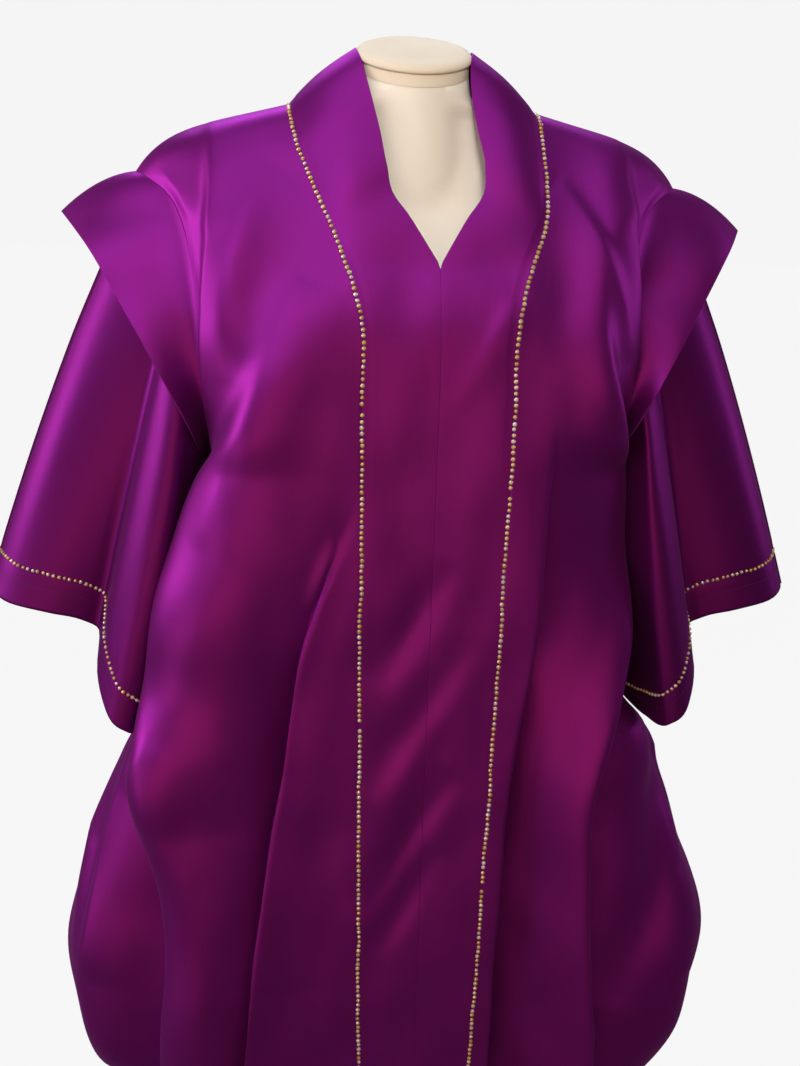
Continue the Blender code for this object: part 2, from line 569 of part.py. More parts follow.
def sleeve_and_cuff(word, side, look):
    places = -np.concatenate([ARM_ROWS, 2 * ARM_DROP - ARM_ROWS[-2::-1]]) / ARM_DROP
    downs = np.linspace(0, CUFF_SHARE - CUFF_PARTING, SLEEVE_DOWN + 1)
    downs = np.concatenate([downs, np.linspace(CUFF_SHARE + CUFF_PARTING, 1, CUFF_DOWN + 1)])
    grid = sleeve(side, places, downs)
    middle = grid[:, :-1].mean(axis=1, keepdims=True)
    normals = surface_normals(grid, middle, True)
    seam = SLEEVE_DOWN + 1
    normals[seam] = normals[seam - 1]
    cloth_wall(f"sleeve_{word}", grid[:seam], normals[:seam], look, wrapped=True)
    cloth_wall(f"cuff_{word}", grid[seam:], normals[seam:], look, wrapped=True)


def shoulder_wing(name, side, look):
    alongs = ARM_ROWS[:WING_ROWS] / ARM_DROP
    alongs = np.concatenate([-alongs[:0:-1], alongs])
    grid = wing(side, np.linspace(0, 1, WING_ACROSS + 1), alongs)
    return cloth_wall(name, grid, surface_normals(grid, np.array(WING_BELOW) * [side, 1, 1]), look)


def ring_loft(bm, rings):
    """Closes a stack of rings into one skin, with flat ends."""
    loops = []
    for ring in rings:
        made = bmesh.ops.create_circle(bm, segments=len(ring), radius=1)["verts"]
        for vert, place in zip(made, ring):
            vert.co = place
        loops.append(made)
    for low, high in zip(loops, loops[1:]):
        edges = [e for v in low + high for e in v.link_edges if len(e.link_faces) < 2]
        bmesh.ops.bridge_loops(bm, edges=list(dict.fromkeys(edges)))
    for loop in (loops[0], loops[-1]):
        bm.faces.new(loop)


def round_ring(z, half, front, back, square=2.0, tilt=0.0, count=FORM_ROUND):
    """A level ring with its own depth before and behind; square 2 is an ellipse."""
    turn = np.linspace(0, 2 * math.pi, count, endpoint=False)
    c, s = np.cos(turn), np.sin(turn)
    x = half * np.sign(c) * np.abs(c) ** (2 / square)
    y = np.where(s > 0, back, front) * np.sign(s) * np.abs(s) ** (2 / square)
    return np.stack([x, y, z + y * math.tan(tilt)], axis=1)


def shoulder_half(z):
    """The half-width of the form's shoulder where its top line reaches this height."""
    line = shoulder_line()
    return float(np.interp(-z, -(line[:, 2] - CLOTH - SHOULDER_GAP), line[:, 0]))


def dress_form(look):
    """Torso, shoulders and neck in one skin, from its foot to the slanting top of the neck."""
    rings = [round_ring(*row) for row in zip(*FORM.values())]
    for z, depth, square in zip(*FORM_SHOULDER.values()):
        rings.append(round_ring(z, shoulder_half(z), depth, depth, square))
    rings += [round_ring(*row) for row in zip(*FORM_NECK.values())]
    rings.append(round_ring(NECK_TOP_Z, NECK_R, NECK_R, NECK_R, tilt=CAP_TILT))
    bm = bmesh.new()
    ring_loft(bm, rings)
    return finish(bm, "dress_form", look)


def neck_cap(look):
    """The lid on the neck, slanting with it, with a rounded rim."""
    foot = NECK_TOP_Z + SEAM
    rings = [round_ring(foot + up, r, r, r, tilt=CAP_TILT) for up, r in zip(*CAP.values())]
    bm = bmesh.new()
    ring_loft(bm, rings)
    return finish(bm, "neck_cap", look)


def turned(name, profile, look, count):
    """A solid turned about the upright axis through the origin, from its profile of (r, z)."""
    bm = bmesh.new()
    ring_loft(bm, [round_ring(z, r, r, r, count=count) for r, z in profile])
    return finish(bm, name, look)


def main():
    for old in list(bpy.data.objects):
        bpy.data.objects.remove(old)
    satin = material("purple_satin", SATIN, SATIN_ROUGH)
    plastic = material("cream_plastic", PLASTIC, PLASTIC_ROUGH)
    steel = material("stand_steel", STEEL, STEEL_ROUGH, metallic=1.0)
    for word, side in SIDES.items():
        front_panel(f"front_{word}", side, satin)
        front_band(f"band_{word}", side, satin)
        sleeve_and_cuff(word, side, satin)
        shoulder_wing(f"wing_{word}", side, satin)
    back_panel("back", satin)
    dress_form(plastic)
    neck_cap(plastic)
    pole = [(POLE_R, BASE_THICK + SEAM), (POLE_R, FORM["z"][0] - SEAM)]
    turned("stand_pole", pole, steel, POLE_ROUND)
    base = [(BASE_R, 0), (BASE_R, BASE_BEVEL_Z), (BASE_R - BASE_BEVEL, BASE_THICK)]
    turned("stand_base", base, steel, BASE_ROUND)


main()
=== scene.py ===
# %% [markdown]
# # A satin boubou on a dress form
# A grand boubou is a wide, full-length robe. This one is cut from heavy purple satin, with a
# standing band round a deep V neck, rows of small stones along the band, stiff wings over the
# shoulders and wide sleeves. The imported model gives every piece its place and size, and this
# script dresses it: finer cloth, seams, hems, stitches, stones and finishes.

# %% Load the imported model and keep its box
import math
import random

import bmesh
import bpy
import numpy as np
from mathutils import Matrix, Vector


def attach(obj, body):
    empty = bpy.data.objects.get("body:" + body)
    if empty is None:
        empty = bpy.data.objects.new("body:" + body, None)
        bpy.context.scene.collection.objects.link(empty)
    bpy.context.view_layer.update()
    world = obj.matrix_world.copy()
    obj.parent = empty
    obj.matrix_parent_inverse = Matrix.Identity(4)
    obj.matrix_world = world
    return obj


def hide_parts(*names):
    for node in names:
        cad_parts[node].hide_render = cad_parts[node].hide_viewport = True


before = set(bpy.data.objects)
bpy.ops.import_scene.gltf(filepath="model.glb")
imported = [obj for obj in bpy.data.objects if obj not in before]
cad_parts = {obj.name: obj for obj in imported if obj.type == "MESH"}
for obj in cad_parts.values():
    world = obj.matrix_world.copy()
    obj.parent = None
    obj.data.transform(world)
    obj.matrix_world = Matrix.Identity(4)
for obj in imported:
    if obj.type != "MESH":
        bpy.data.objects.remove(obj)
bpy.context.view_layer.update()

# %% [markdown]
# ## The cut and the drape, as a table of sections
# Cloth that hangs on a body is mostly a stack of level sections, each a smooth line from the
# centre front to the side and on to the centre back. A cloth simulation could find them, but it
# would wander from the solids. A table keeps every section where the maker hung it: one row for
# each length of cloth below the shoulder seam.

# %% Sections from the shoulder seam to the hem
def table(names, *rows):
    return {name: np.array(column, float) for name, column in zip(names.split(), zip(*rows))}


SECTIONS = table(
    "drop seam_x seam_y seam_z side_x side_y side_z back_y back_z turn full",
    (0.000, 0.119, 0.000, 1.441, 0.264, 0.000, 1.375, 0.073, 1.428, 0, 0.55),
    (0.023, 0.119, -0.022, 1.434, 0.252, -0.019, 1.370, 0.082, 1.408, 10, 0.55),
    (0.055, 0.117, -0.046, 1.413, 0.230, -0.042, 1.354, 0.092, 1.380, 22, 0.55),
    (0.098, 0.111, -0.072, 1.379, 0.214, -0.067, 1.323, 0.103, 1.342, 35, 0.55),
    (0.139, 0.102, -0.096, 1.345, 0.206, -0.085, 1.287, 0.110, 1.305, 45, 0.55),
    (0.184, 0.088, -0.119, 1.308, 0.201, -0.097, 1.245, 0.115, 1.265, 52, 0.56),
    (0.219, 0.077, -0.137, 1.278, 0.198, -0.100, 1.208, 0.118, 1.233, 58, 0.58),
    (0.256, 0.070, -0.150, 1.245, 0.194, -0.094, 1.170, 0.120, 1.200, 66, 0.62),
    (0.321, 0.069, -0.156, 1.180, 0.190, -0.062, 1.126, 0.122, 1.150, 80, 0.70),
    (0.401, 0.068, -0.156, 1.100, 0.187, 0.000, 1.100, 0.122, 1.100, 92, 0.76),
    (0.481, 0.067, -0.154, 1.020, 0.190, 0.002, 1.020, 0.122, 1.020, 98, 0.80),
    (0.551, 0.067, -0.152, 0.950, 0.196, 0.004, 0.950, 0.123, 0.950, 106, 0.84),
    (0.621, 0.066, -0.151, 0.880, 0.206, 0.006, 0.880, 0.126, 0.880, 113, 0.86),
    (0.656, 0.065, -0.150, 0.845, 0.226, 0.008, 0.845, 0.128, 0.845, 112, 0.84),
    (0.681, 0.065, -0.150, 0.820, 0.256, 0.010, 0.820, 0.129, 0.820, 104, 0.74),
    (0.711, 0.065, -0.150, 0.790, 0.282, 0.010, 0.790, 0.130, 0.790, 96, 0.66),
    (0.751, 0.064, -0.149, 0.750, 0.300, 0.010, 0.750, 0.133, 0.750, 90, 0.60),
    (0.861, 0.062, -0.148, 0.640, 0.340, 0.010, 0.640, 0.136, 0.640, 90, 0.56),
    (0.951, 0.060, -0.148, 0.550, 0.362, 0.010, 0.550, 0.138, 0.550, 90, 0.55),
    (1.031, 0.058, -0.147, 0.470, 0.352, 0.010, 0.470, 0.138, 0.470, 90, 0.55),
    (1.121, 0.057, -0.145, 0.380, 0.310, 0.008, 0.380, 0.136, 0.380, 90, 0.56),
    (1.251, 0.056, -0.142, 0.250, 0.266, 0.006, 0.250, 0.133, 0.250, 90, 0.57),
    (1.381, 0.055, -0.140, 0.120, 0.242, 0.004, 0.120, 0.130, 0.120, 90, 0.58),
    (1.471, 0.055, -0.140, 0.030, 0.234, 0.004, 0.030, 0.130, 0.030, 90, 0.58),
)
HEM_DROP = float(SECTIONS["drop"][-1])
ARM_DROP = 0.401  # where the armhole ends and the side seam starts
BAND_SHARE = 0.2  # the band's share of the front, from the centre line to the side seam
BAND_SHIFT, SHIFT_TOP, SHIFT_FULL = 0.016, 1.441, 1.325  # how the worn front hangs off centre
V_DROP, NECK_DROP = 0.195, 0.130  # the point of the V, and the seam's length behind the neck
print("cloth below the shoulder seam:", HEM_DROP, "m in", len(SECTIONS["drop"]), "sections")

# %% [markdown]
# ## The band at the neck
# The band is one long strip for each side. It stands up behind the neck, folds over the shoulder
# and comes down both sides of the V. Its free edge and its seam are two curves, and the strip
# swells a little between them, as a stiffened band does.

# %% The free edge of the band
COLLAR = table(
    "drop edge_x edge_y edge_z seam_x seam_y seam_z bow",
    (-0.130, 0.0000, 0.0640, 1.485, 0.000, 0.073, 1.428, 0.001),
    (-0.095, 0.0300, 0.0575, 1.487, 0.048, 0.069, 1.430, 0.001),
    (-0.060, 0.0470, 0.0390, 1.490, 0.088, 0.050, 1.434, 0.002),
    (-0.028, 0.0545, 0.0180, 1.493, 0.110, 0.024, 1.438, 0.003),
    (0.000, 0.0556, 0.0000, 1.493, 0.119, 0.000, 1.441, 0.004),
    (0.023, 0.0520, -0.0200, 1.482, 0.119, -0.022, 1.434, 0.005),
    (0.055, 0.0480, -0.0400, 1.457, 0.117, -0.046, 1.413, 0.006),
    (0.098, 0.0456, -0.0620, 1.420, 0.111, -0.072, 1.379, 0.007),
    (0.139, 0.0450, -0.0820, 1.385, 0.102, -0.096, 1.345, 0.006),
    (0.162, 0.0400, -0.0940, 1.359, 0.095, -0.107, 1.326, 0.004),
    (0.175, 0.0270, -0.1040, 1.342, 0.091, -0.114, 1.316, 0.003),
    (0.195, 0.0000, -0.1247, 1.299, 0.0845, -0.1247, 1.299, 0.000),
)
print("the band stands up to", COLLAR["edge_z"].max(), "m beside the neck")

# %% [markdown]
# ## Folds
# A fold is a soft ridge or a hollow that runs down the cloth. Each row says where it lies at
# seven heights, how wide it is towards the middle and away from it, how far it stands out, and
# how far its crest leans over. The lean is what makes a satin fold crisp on one side. Folds could
# be sculpted by hand, but rows of numbers are easy to shift, and they run on over every seam.

# %% The long folds, front and back
FOLD_HEIGHTS = np.array([1.28, 1.10, 0.95, 0.80, 0.65, 0.45, 0.03])
FOLD_COLUMNS = "x128 x110 x095 x080 x065 x045 x003 top low inner outer stand lean"
FRONT_FOLDS = table(
    FOLD_COLUMNS,
    (-0.056, -0.072, -0.125, -0.147, -0.165, -0.180, -0.172, 1.10, 0.0, 0.007, 0.054, -0.046, -0.030),
    (-0.112, -0.164, -0.190, -0.212, -0.208, -0.216, -0.190, 1.36, 0.0, 0.055, 0.045, 0.018, 0.003),
    (-0.112, -0.164, -0.190, -0.212, -0.208, -0.216, -0.190, 1.24, 0.0, 0.075, 0.045, 0.033, 0.003),
    (-0.112, -0.164, -0.190, -0.212, -0.208, -0.208, -0.208, 1.26, 0.66, 0.050, 0.045, 0.006, 0.032),
    (-0.200, -0.230, -0.264, -0.246, -0.252, -0.266, -0.210, 0.90, 0.0, 0.008, 0.038, -0.032, -0.018),
    (-0.200, -0.230, -0.270, -0.304, -0.330, -0.325, -0.230, 0.86, 0.2, 0.035, 0.030, 0.012, 0.000),
    (-0.188, -0.182, -0.196, -0.200, -0.200, -0.200, -0.200, 1.52, 1.0, 0.040, 0.009, 0.013, 0.003),
    (0.108, 0.120, 0.119, 0.101, 0.096, 0.094, 0.090, 1.17, 0.0, 0.007, 0.074, -0.050, -0.030),
    (0.152, 0.178, 0.190, 0.174, 0.176, 0.190, 0.166, 1.36, 0.0, 0.030, 0.018, 0.026, 0.008),
    (0.152, 0.178, 0.190, 0.178, 0.170, 0.170, 0.170, 1.26, 0.74, 0.045, 0.034, 0.002, 0.026),
    (0.200, 0.226, 0.230, 0.196, 0.196, 0.211, 0.180, 1.00, 0.0, 0.008, 0.050, -0.038, -0.018),
    (0.200, 0.235, 0.268, 0.290, 0.302, 0.312, 0.225, 0.94, 0.2, 0.036, 0.036, 0.012, 0.000),
    (0.198, 0.190, 0.200, 0.200, 0.200, 0.200, 0.200, 1.52, 1.0, 0.040, 0.009, 0.012, 0.003),
    (0.070, 0.070, 0.040, -0.030, -0.060, -0.060, -0.060, 1.02, 0.7, 0.020, 0.020, 0.004, 0.000),
)
BACK_FOLDS = table(
    FOLD_COLUMNS,
    (-0.030, -0.035, -0.040, -0.045, -0.050, -0.055, -0.055, 1.24, 0.0, 0.028, 0.028, 0.016, 0.000),
    (-0.070, -0.080, -0.090, -0.095, -0.100, -0.105, -0.100, 1.16, 0.0, 0.020, 0.030, -0.022, -0.006),
    (-0.110, -0.130, -0.145, -0.155, -0.165, -0.170, -0.150, 1.28, 0.0, 0.034, 0.026, 0.020, 0.006),
    (-0.150, -0.165, -0.185, -0.205, -0.220, -0.225, -0.190, 1.04, 0.0, 0.022, 0.034, -0.022, -0.006),
    (-0.170, -0.180, -0.205, -0.250, -0.280, -0.275, -0.215, 0.96, 0.2, 0.034, 0.030, 0.016, 0.004),
    (0.015, 0.010, 0.010, 0.005, 0.005, 0.000, 0.000, 1.10, 0.0, 0.026, 0.026, -0.016, 0.000),
    (0.050, 0.055, 0.060, 0.062, 0.066, 0.068, 0.060, 1.26, 0.0, 0.028, 0.026, 0.018, 0.003),
    (0.090, 0.100, 0.110, 0.118, 0.124, 0.126, 0.110, 1.14, 0.0, 0.020, 0.030, -0.022, -0.006),
    (0.130, 0.145, 0.160, 0.175, 0.188, 0.188, 0.155, 1.28, 0.0, 0.034, 0.024, 0.020, 0.005),
    (0.155, 0.170, 0.190, 0.215, 0.232, 0.236, 0.195, 1.02, 0.0, 0.020, 0.034, -0.020, -0.006),
    (0.170, 0.182, 0.210, 0.255, 0.290, 0.285, 0.218, 0.96, 0.2, 0.034, 0.030, 0.014, 0.004),
)
FOLD_GROWTH, FOLD_FADE = 0.30, 0.20  # heights over which a fold grows and dies away
print("long folds:", len(FRONT_FOLDS["top"]), "in front,", len(BACK_FOLDS["top"]), "behind")

# %% [markdown]
# ## Creases
# Between the long folds the cloth pulls from the bust, from the shoulder and across the band.
# Each crease is one short curve on the front, seen straight on, with its two half-widths and the
# height it stands. A negative height is a dent. Creases are laid on the cloth's grid, because a
# bump in the satin alone would leave the mesh itself smooth.

# %% Short creases on the front
CREASES = table(
    "x0 z0 x1 z1 x2 z2 left right height",
    (-0.104, 1.285, -0.146, 1.180, -0.200, 1.040, 0.016, 0.040, 0.006),
    (-0.130, 1.380, -0.166, 1.300, -0.178, 1.190, 0.014, 0.030, 0.004),
    (-0.246, 1.368, -0.223, 1.322, -0.204, 1.250, 0.008, 0.016, 0.0025),
    (-0.246, 1.370, -0.222, 1.352, -0.180, 1.318, 0.008, 0.016, 0.0025),
    (0.250, 1.378, 0.230, 1.335, 0.216, 1.260, 0.016, 0.008, 0.0025),
    (0.250, 1.380, 0.222, 1.358, 0.176, 1.330, 0.016, 0.008, 0.0025),
    (0.129, 1.375, 0.171, 1.306, 0.197, 1.220, 0.026, 0.010, 0.005),
    (0.082, 1.275, 0.062, 1.230, 0.030, 1.176, 0.010, 0.018, 0.003),
    (-0.074, 1.050, -0.087, 1.018, -0.100, 0.980, 0.007, 0.007, 0.004),
    (0.034, 1.030, -0.001, 0.965, -0.034, 0.905, 0.020, 0.012, -0.004),
    (0.056, 0.955, 0.010, 0.875, -0.040, 0.790, 0.022, 0.014, -0.004),
    (0.046, 0.815, 0.004, 0.745, -0.044, 0.655, 0.022, 0.012, -0.004),
    (0.030, 0.735, 0.003, 0.670, -0.030, 0.610, 0.018, 0.012, -0.003),
    (-0.215, 0.579, -0.150, 0.577, -0.073, 0.574, 0.004, 0.004, -0.0008),
    (-0.252, 0.850, -0.300, 0.690, -0.336, 0.545, 0.009, 0.040, 0.015),
    (0.300, 0.860, 0.290, 0.680, 0.240, 0.500, 0.034, 0.034, -0.014),
    (0.330, 0.660, 0.346, 0.590, 0.352, 0.520, 0.026, 0.009, 0.008),
)
print("short creases on the front:", len(CREASES["x0"]))

# %% [markdown]
# ## From tables to surfaces
# `through` draws a smooth curve through a column of a table. `section` turns one row into the
# half outline of the robe, and `body` lays the folds on it and gives points on the cloth at any
# drop and any place round it: 0 is the centre front, 0.2 the beaded seam, 1 the side seam and 2
# the centre back, with negative places on the left. One surface serves all the panels, so that two
# pieces that share a seam have the same points there.

# %% Curves through the tables
SHORTEST = 1e-12  # no direction is shorter than this when it is made one unit long


def through(keys, values, at):
    keys, values, at = np.asarray(keys), np.asarray(values), np.asarray(at, float)
    slope = np.gradient(values, keys)
    i = np.clip(np.searchsorted(keys, at, side="right") - 1, 0, len(keys) - 2)
    step = keys[i + 1] - keys[i]
    t = (at - keys[i]) / step
    start = (2 * t**3 - 3 * t**2 + 1) * values[i] + (t**3 - 2 * t**2 + t) * step * slope[i]
    end = (3 * t**2 - 2 * t**3) * values[i + 1] + (t**3 - t**2) * step * slope[i + 1]
    return start + end


def read(rows, column, at, key="drop"):
    return through(rows[key], rows[column], at)


def points(rows, columns, at, key="drop"):
    return np.stack([read(rows, column, at, key) for column in columns.split()], axis=-1)


def ease(t):
    t = np.clip(t, 0, 1)
    return t * t * (3 - 2 * t)


def unit(v):
    return v / np.maximum(np.linalg.norm(v, axis=-1, keepdims=True), SHORTEST)


def band_shift(z):
    return BAND_SHIFT * ease((SHIFT_TOP - z) / (SHIFT_TOP - SHIFT_FULL))


print("the front hangs", BAND_SHIFT, "m off centre below", SHIFT_FULL, "m")

# %% A quarter of a section
FALL_POWER = 6  # how suddenly a section falls to its end, where it falls late


def quarter(start, end, turn, full, late, count=121):
    """A quarter section, level with x at its start and turned back by an angle at its end."""
    start, end = np.asarray(start, float), np.asarray(end, float)
    back = np.sign(end[1] - start[1]) or 1.0
    way = np.array([math.cos(turn), back * math.sin(turn)])
    width, depth = end[0] - start[0], abs(end[1] - start[1])
    reach = full * (width * max(way[0], 0) + depth * abs(way[1]))
    posts = np.array([start[:2], start[:2] + [full * width, 0], end[:2] - reach * way, end[:2]])
    t = np.linspace(0, 1, count)[:, None]
    weights = (1 - t) ** 3, 3 * t * (1 - t) ** 2, 3 * t * t * (1 - t), t**3
    line = sum(weight * post for weight, post in zip(weights, posts))
    out = np.clip((line[:, 0] - start[0]) / width, 0, 1)
    fall = (1 - late) * out + late * out**FALL_POWER
    return np.column_stack([line, start[2] + (end[2] - start[2]) * fall])


def lengths(line):
    return np.concatenate([[0], np.cumsum(np.linalg.norm(np.diff(line, axis=0), axis=1))])


def read_line(line, at):
    """Points at these lengths along a line, and the line's level direction there."""
    length = lengths(line)
    place = np.stack([np.interp(at, length, line[:, k]) for k in range(3)], axis=1)
    run = unit(np.gradient(line[:, :2], length, axis=0))
    return place, unit(np.stack([np.interp(at, length, run[:, k]) for k in range(2)], axis=1))


example = quarter((0, 0, 1), (0.2, 0.1, 1), math.pi / 2, SECTIONS["full"][0], 0.0)
print("a quarter 0.2 m wide and 0.1 m deep is", round(float(lengths(example)[-1]), 3), "m long")

# %% One level section of the robe
LATE_FALL, SHOULDER_FULL = 0.45, 0.55  # how late the shoulder drops, and how full it is
LATE_LOSS, LATE_DEPTH = 0.55, 0.10  # the share of the late fall that goes, and by which drop
NECK_BLEND, NECK_BLEND_POWER = 0.09, 1.5  # how deep the back still follows the neck seam
NECK_POINTS, MIDDLE_POINTS = 40, 13


def shoulder_line():
    seam = points(SECTIONS, "seam_x seam_y seam_z", 0)
    side = points(SECTIONS, "side_x side_y side_z", 0)
    return quarter(seam, side, 0.0, SHOULDER_FULL, LATE_FALL)


def neck_and_shoulder(shares):
    """The top edge of the back: half the neck seam and then the shoulder seam."""
    neck = points(COLLAR, "seam_x seam_y seam_z", np.linspace(-NECK_DROP, 0, NECK_POINTS))
    line = np.concatenate([neck, shoulder_line()[1:]])
    return read_line(line, shares * lengths(line)[-1])[0]


def section(drop):
    """The robe's plain half section: its front from the centre line, its back from the centre."""
    seam = points(SECTIONS, "seam_x seam_y seam_z", drop)
    side = points(SECTIONS, "side_x side_y side_z", drop)
    centre_back = np.array([0, read(SECTIONS, "back_y", drop), read(SECTIONS, "back_z", drop)])
    turn, full = math.radians(read(SECTIONS, "turn", drop)), float(read(SECTIONS, "full", drop))
    late = LATE_FALL * (1 - LATE_LOSS * ease(drop / LATE_DEPTH)) if drop < ARM_DROP else 0.0
    middle = np.linspace(seam * [0, 1, 1], seam, MIDDLE_POINTS)
    front = np.concatenate([middle, quarter(seam, side, turn, full, late)[1:]])
    behind = side * [1, -1 if drop < ARM_DROP else 1, 1]
    back = quarter(centre_back, behind, turn, full, late)
    if drop < NECK_BLEND:
        shares = np.linspace(0, 1, len(back))
        near_neck = (1 - ease(drop / NECK_BLEND)) ** NECK_BLEND_POWER
        back += (neck_and_shoulder(shares) - back) * near_neck
    return front, back, float(seam[0])


print("shoulder seam:", round(float(lengths(shoulder_line())[-1]), 3), "m long")

# %% The folds laid on a section
SIDE_BLEND = 0.12  # how near the side seam the folds turn to stand straight out


def fold_place(folds, z):
    paths = zip(*[folds[name] for name in FOLD_COLUMNS.split()[: len(FOLD_HEIGHTS)]])
    level = np.clip(z, FOLD_HEIGHTS[-1], FOLD_HEIGHTS[0])
    return np.array([through(FOLD_HEIGHTS[::-1], path[::-1], level) for path in paths])


def fold_moves(folds, side, along, z, line, level):
    """How far the folds carry the cloth out and sideways, at lengths along one half section."""
    if not len(along):
        return np.zeros(0), np.zeros(0)
    rise = np.argmax(line[:, 0])
    x = fold_place(folds, level)
    way = np.sign(x)[:, None]
    centre = way * np.interp(abs(x), line[: rise + 1, 0], lengths(line)[: rise + 1])[:, None]
    away = (side * along - centre) * way
    inner, outer, top, low = (folds[name][:, None] for name in ("inner", "outer", "top", "low"))
    shape = np.exp(-((away / np.where(away < 0, inner, outer)) ** 2))
    shape *= ease((top - z) / FOLD_GROWTH)
    shape *= np.where(low > 0, ease((z - low) / FOLD_FADE), 1.0)
    return folds["stand"] @ shape, (folds["lean"] * way[:, 0] * side) @ shape


def body(around, drops):
    """The robe's outer surface at each drop and place round it."""
    around = np.asarray(around, float)
    place_on, side = np.abs(around), np.where(around < 0, -1.0, 1.0)
    grid = []
    for drop in drops:
        front, back, seam_x = section(drop)
        front_length, back_length = lengths(front)[-1], lengths(back)[-1]
        beyond = np.clip((place_on - BAND_SHARE) / (1 - BAND_SHARE), 0, 1)
        along = np.minimum(place_on / BAND_SHARE, 1) * seam_x + beyond * (front_length - seam_x)
        to_back = (2 - place_on) * back_length
        behind = place_on > 1
        along = np.where(behind, front_length + back_length - to_back, along)
        to_back = np.where(behind, to_back, front_length + back_length - along)
        place, run = read_line(front, np.minimum(along, front_length))
        rear, rear_run = read_line(back, np.minimum(to_back, back_length))
        place[behind], run[behind] = rear[behind], -rear_run[behind]
        if drop >= ARM_DROP:
            near_side = ease(1 - np.abs(place_on - 1) / SIDE_BLEND)[:, None]
            run = unit(run * (1 - near_side) + [0, 1] * near_side)
        level = float(read(SECTIONS, "seam_z", drop))
        shift = band_shift(level) * np.clip((1 - place_on) / (1 - BAND_SHARE), 0, 1)
        moves = np.zeros((2, len(around)))
        for sign in (-1.0, 1.0):
            on = side == sign
            moves[:, on] += fold_moves(FRONT_FOLDS, sign, along[on], place[on, 2], front, level)
            out, lean = fold_moves(BACK_FOLDS, sign, to_back[on], place[on, 2], back, level)
            moves[:, on] += out, -lean
        outward = np.column_stack([run[:, 1], -run[:, 0]])
        place[:, :2] += outward * moves[0][:, None] + run * moves[1][:, None]
        place[:, 0] = place[:, 0] * side + shift
        grid.append(place)
    return np.array(grid)


print("hem, right side seam:", np.round(body([1.0], [HEM_DROP])[0][0], 3))

# %% [markdown]
# ## Sleeve, cuff and wing
# A sleeve starts on the armhole and ends at the cuff, and each line that runs down it has one
# row: its place round the armhole and its end. A loft between two rings would be simpler, but it
# couldn't let the front lobe fall. The wing is a stiff flap on the same seam, drawn as a curve
# that leaves the armhole the way the panel runs and ends on its own free edge.

# %% The sleeve's lines and the wing's free edge
SLEEVE = table(
    "armhole x y z",
    (0.00, 0.424, 0.000, 0.962),
    (-0.07, 0.404, -0.032, 0.956),
    (-0.14, 0.364, -0.044, 0.951),
    (-0.20, 0.330, -0.040, 0.944),
    (-0.25, 0.311, -0.034, 0.928),
    (-0.30, 0.307, -0.066, 0.892),
    (-0.36, 0.297, -0.086, 0.862),
    (-0.46, 0.278, -0.090, 0.843),
    (-0.62, 0.262, -0.062, 0.836),
    (-0.80, 0.252, -0.030, 0.838),
    (-1.00, 0.248, 0.006, 0.842),
    (-1.20, 0.254, 0.040, 0.844),
    (-1.38, 0.276, 0.070, 0.860),
    (-1.54, 0.306, 0.074, 0.888),
    (-1.66, 0.336, 0.072, 0.916),
    (-1.80, 0.372, 0.060, 0.942),
    (-1.91, 0.408, 0.034, 0.957),
)
WING = table(
    "armhole x y z",
    (0.00, 0.335, 0.000, 1.336),
    (0.10, 0.319, -0.032, 1.322),
    (0.22, 0.300, -0.060, 1.301),
    (0.36, 0.275, -0.082, 1.262),
    (0.50, 0.250, -0.104, 1.222),
    (0.64, 0.226, -0.113, 1.180),
    (0.76, 0.209, -0.106, 1.146),
    (0.86, 0.202, -0.080, 1.120),
)
print("cuff:", SLEEVE["x"].max(), "m out at the outside,", SLEEVE["z"].min(), "m up at its lobe")

# %% The band's surface
EDGE_SKEW = 0.02  # turns the swell of the standing band away from the neck
TINY = 1e-9  # keeps a place just inside its own panel


def band(side, shares, drops):
    """The band on one side, from its free or centre edge (share 0) to the beaded seam (share 1)."""
    grid = []
    for drop in drops:
        if drop >= V_DROP:
            row = body(side * np.maximum(BAND_SHARE * shares, TINY), [drop])[0]
        else:
            edge = points(COLLAR, "edge_x edge_y edge_z", drop)
            seam = points(SECTIONS if drop >= 0 else COLLAR, "seam_x seam_y seam_z", drop)
            outward = unit(np.cross(seam - edge, [edge[1], -edge[0] - EDGE_SKEW, 0.0]))
            swell = float(read(COLLAR, "bow", drop)) * np.sin(np.pi * shares)
            row = edge + np.outer(shares, seam - edge)
            row += np.outer(swell, outward * np.sign(outward[2]))
            row *= [side, 1, 1]
            if drop >= 0:
                row[:, 0] += band_shift(float(seam[2]))
                row += np.outer(shares, body([side * BAND_SHARE], [drop])[0][0] - row[-1])
        grid.append(row)
    return np.array(grid)


print("point of the V:", np.round(band(1, np.array([0.0]), [V_DROP])[0][0], 3))

# %% The armhole and the sleeve's surface
CUFF_SHARE = 0.908  # where the cuff starts along the sleeve
LAP_ROWS = 3  # rows of the sleeve's table repeated past its ends, so that it closes smoothly
ARMHOLE_MIDDLE = (0.222, 0.0, 1.235)
TOP_TUCK, TOP_OUT, TOP_FLAT = 0.003, 0.0012, 0.90  # how the sleeve's top sits in the armhole
ARCH, ARCH_GROWTH, LOBE_GROWTH = 0.007, 0.4, 0.35
LOBE_HOLLOW = (-0.014, 0.225, 0.150, 0.045)  # each swelling: height, place, width before, after
LOBE_RIDGE = (0.010, 0.425, 0.160, 0.160)
UNDERARM = (0.019, 1.050, 0.300, 0.300)


def armhole(side, place, inset=0.0):
    """Points on the armhole seam: place 0 is the shoulder, -1 the underarm, -2 the shoulder."""
    place = np.asarray(place, float)
    place = np.where(place < -1, place + 2, place)
    around = side * np.where(place <= 0, 1.0 - inset, 1.0 + TINY + inset)
    drops = np.abs(place) * ARM_DROP
    return np.array([body([at], [drop])[0][0] for at, drop in zip(around, drops)])


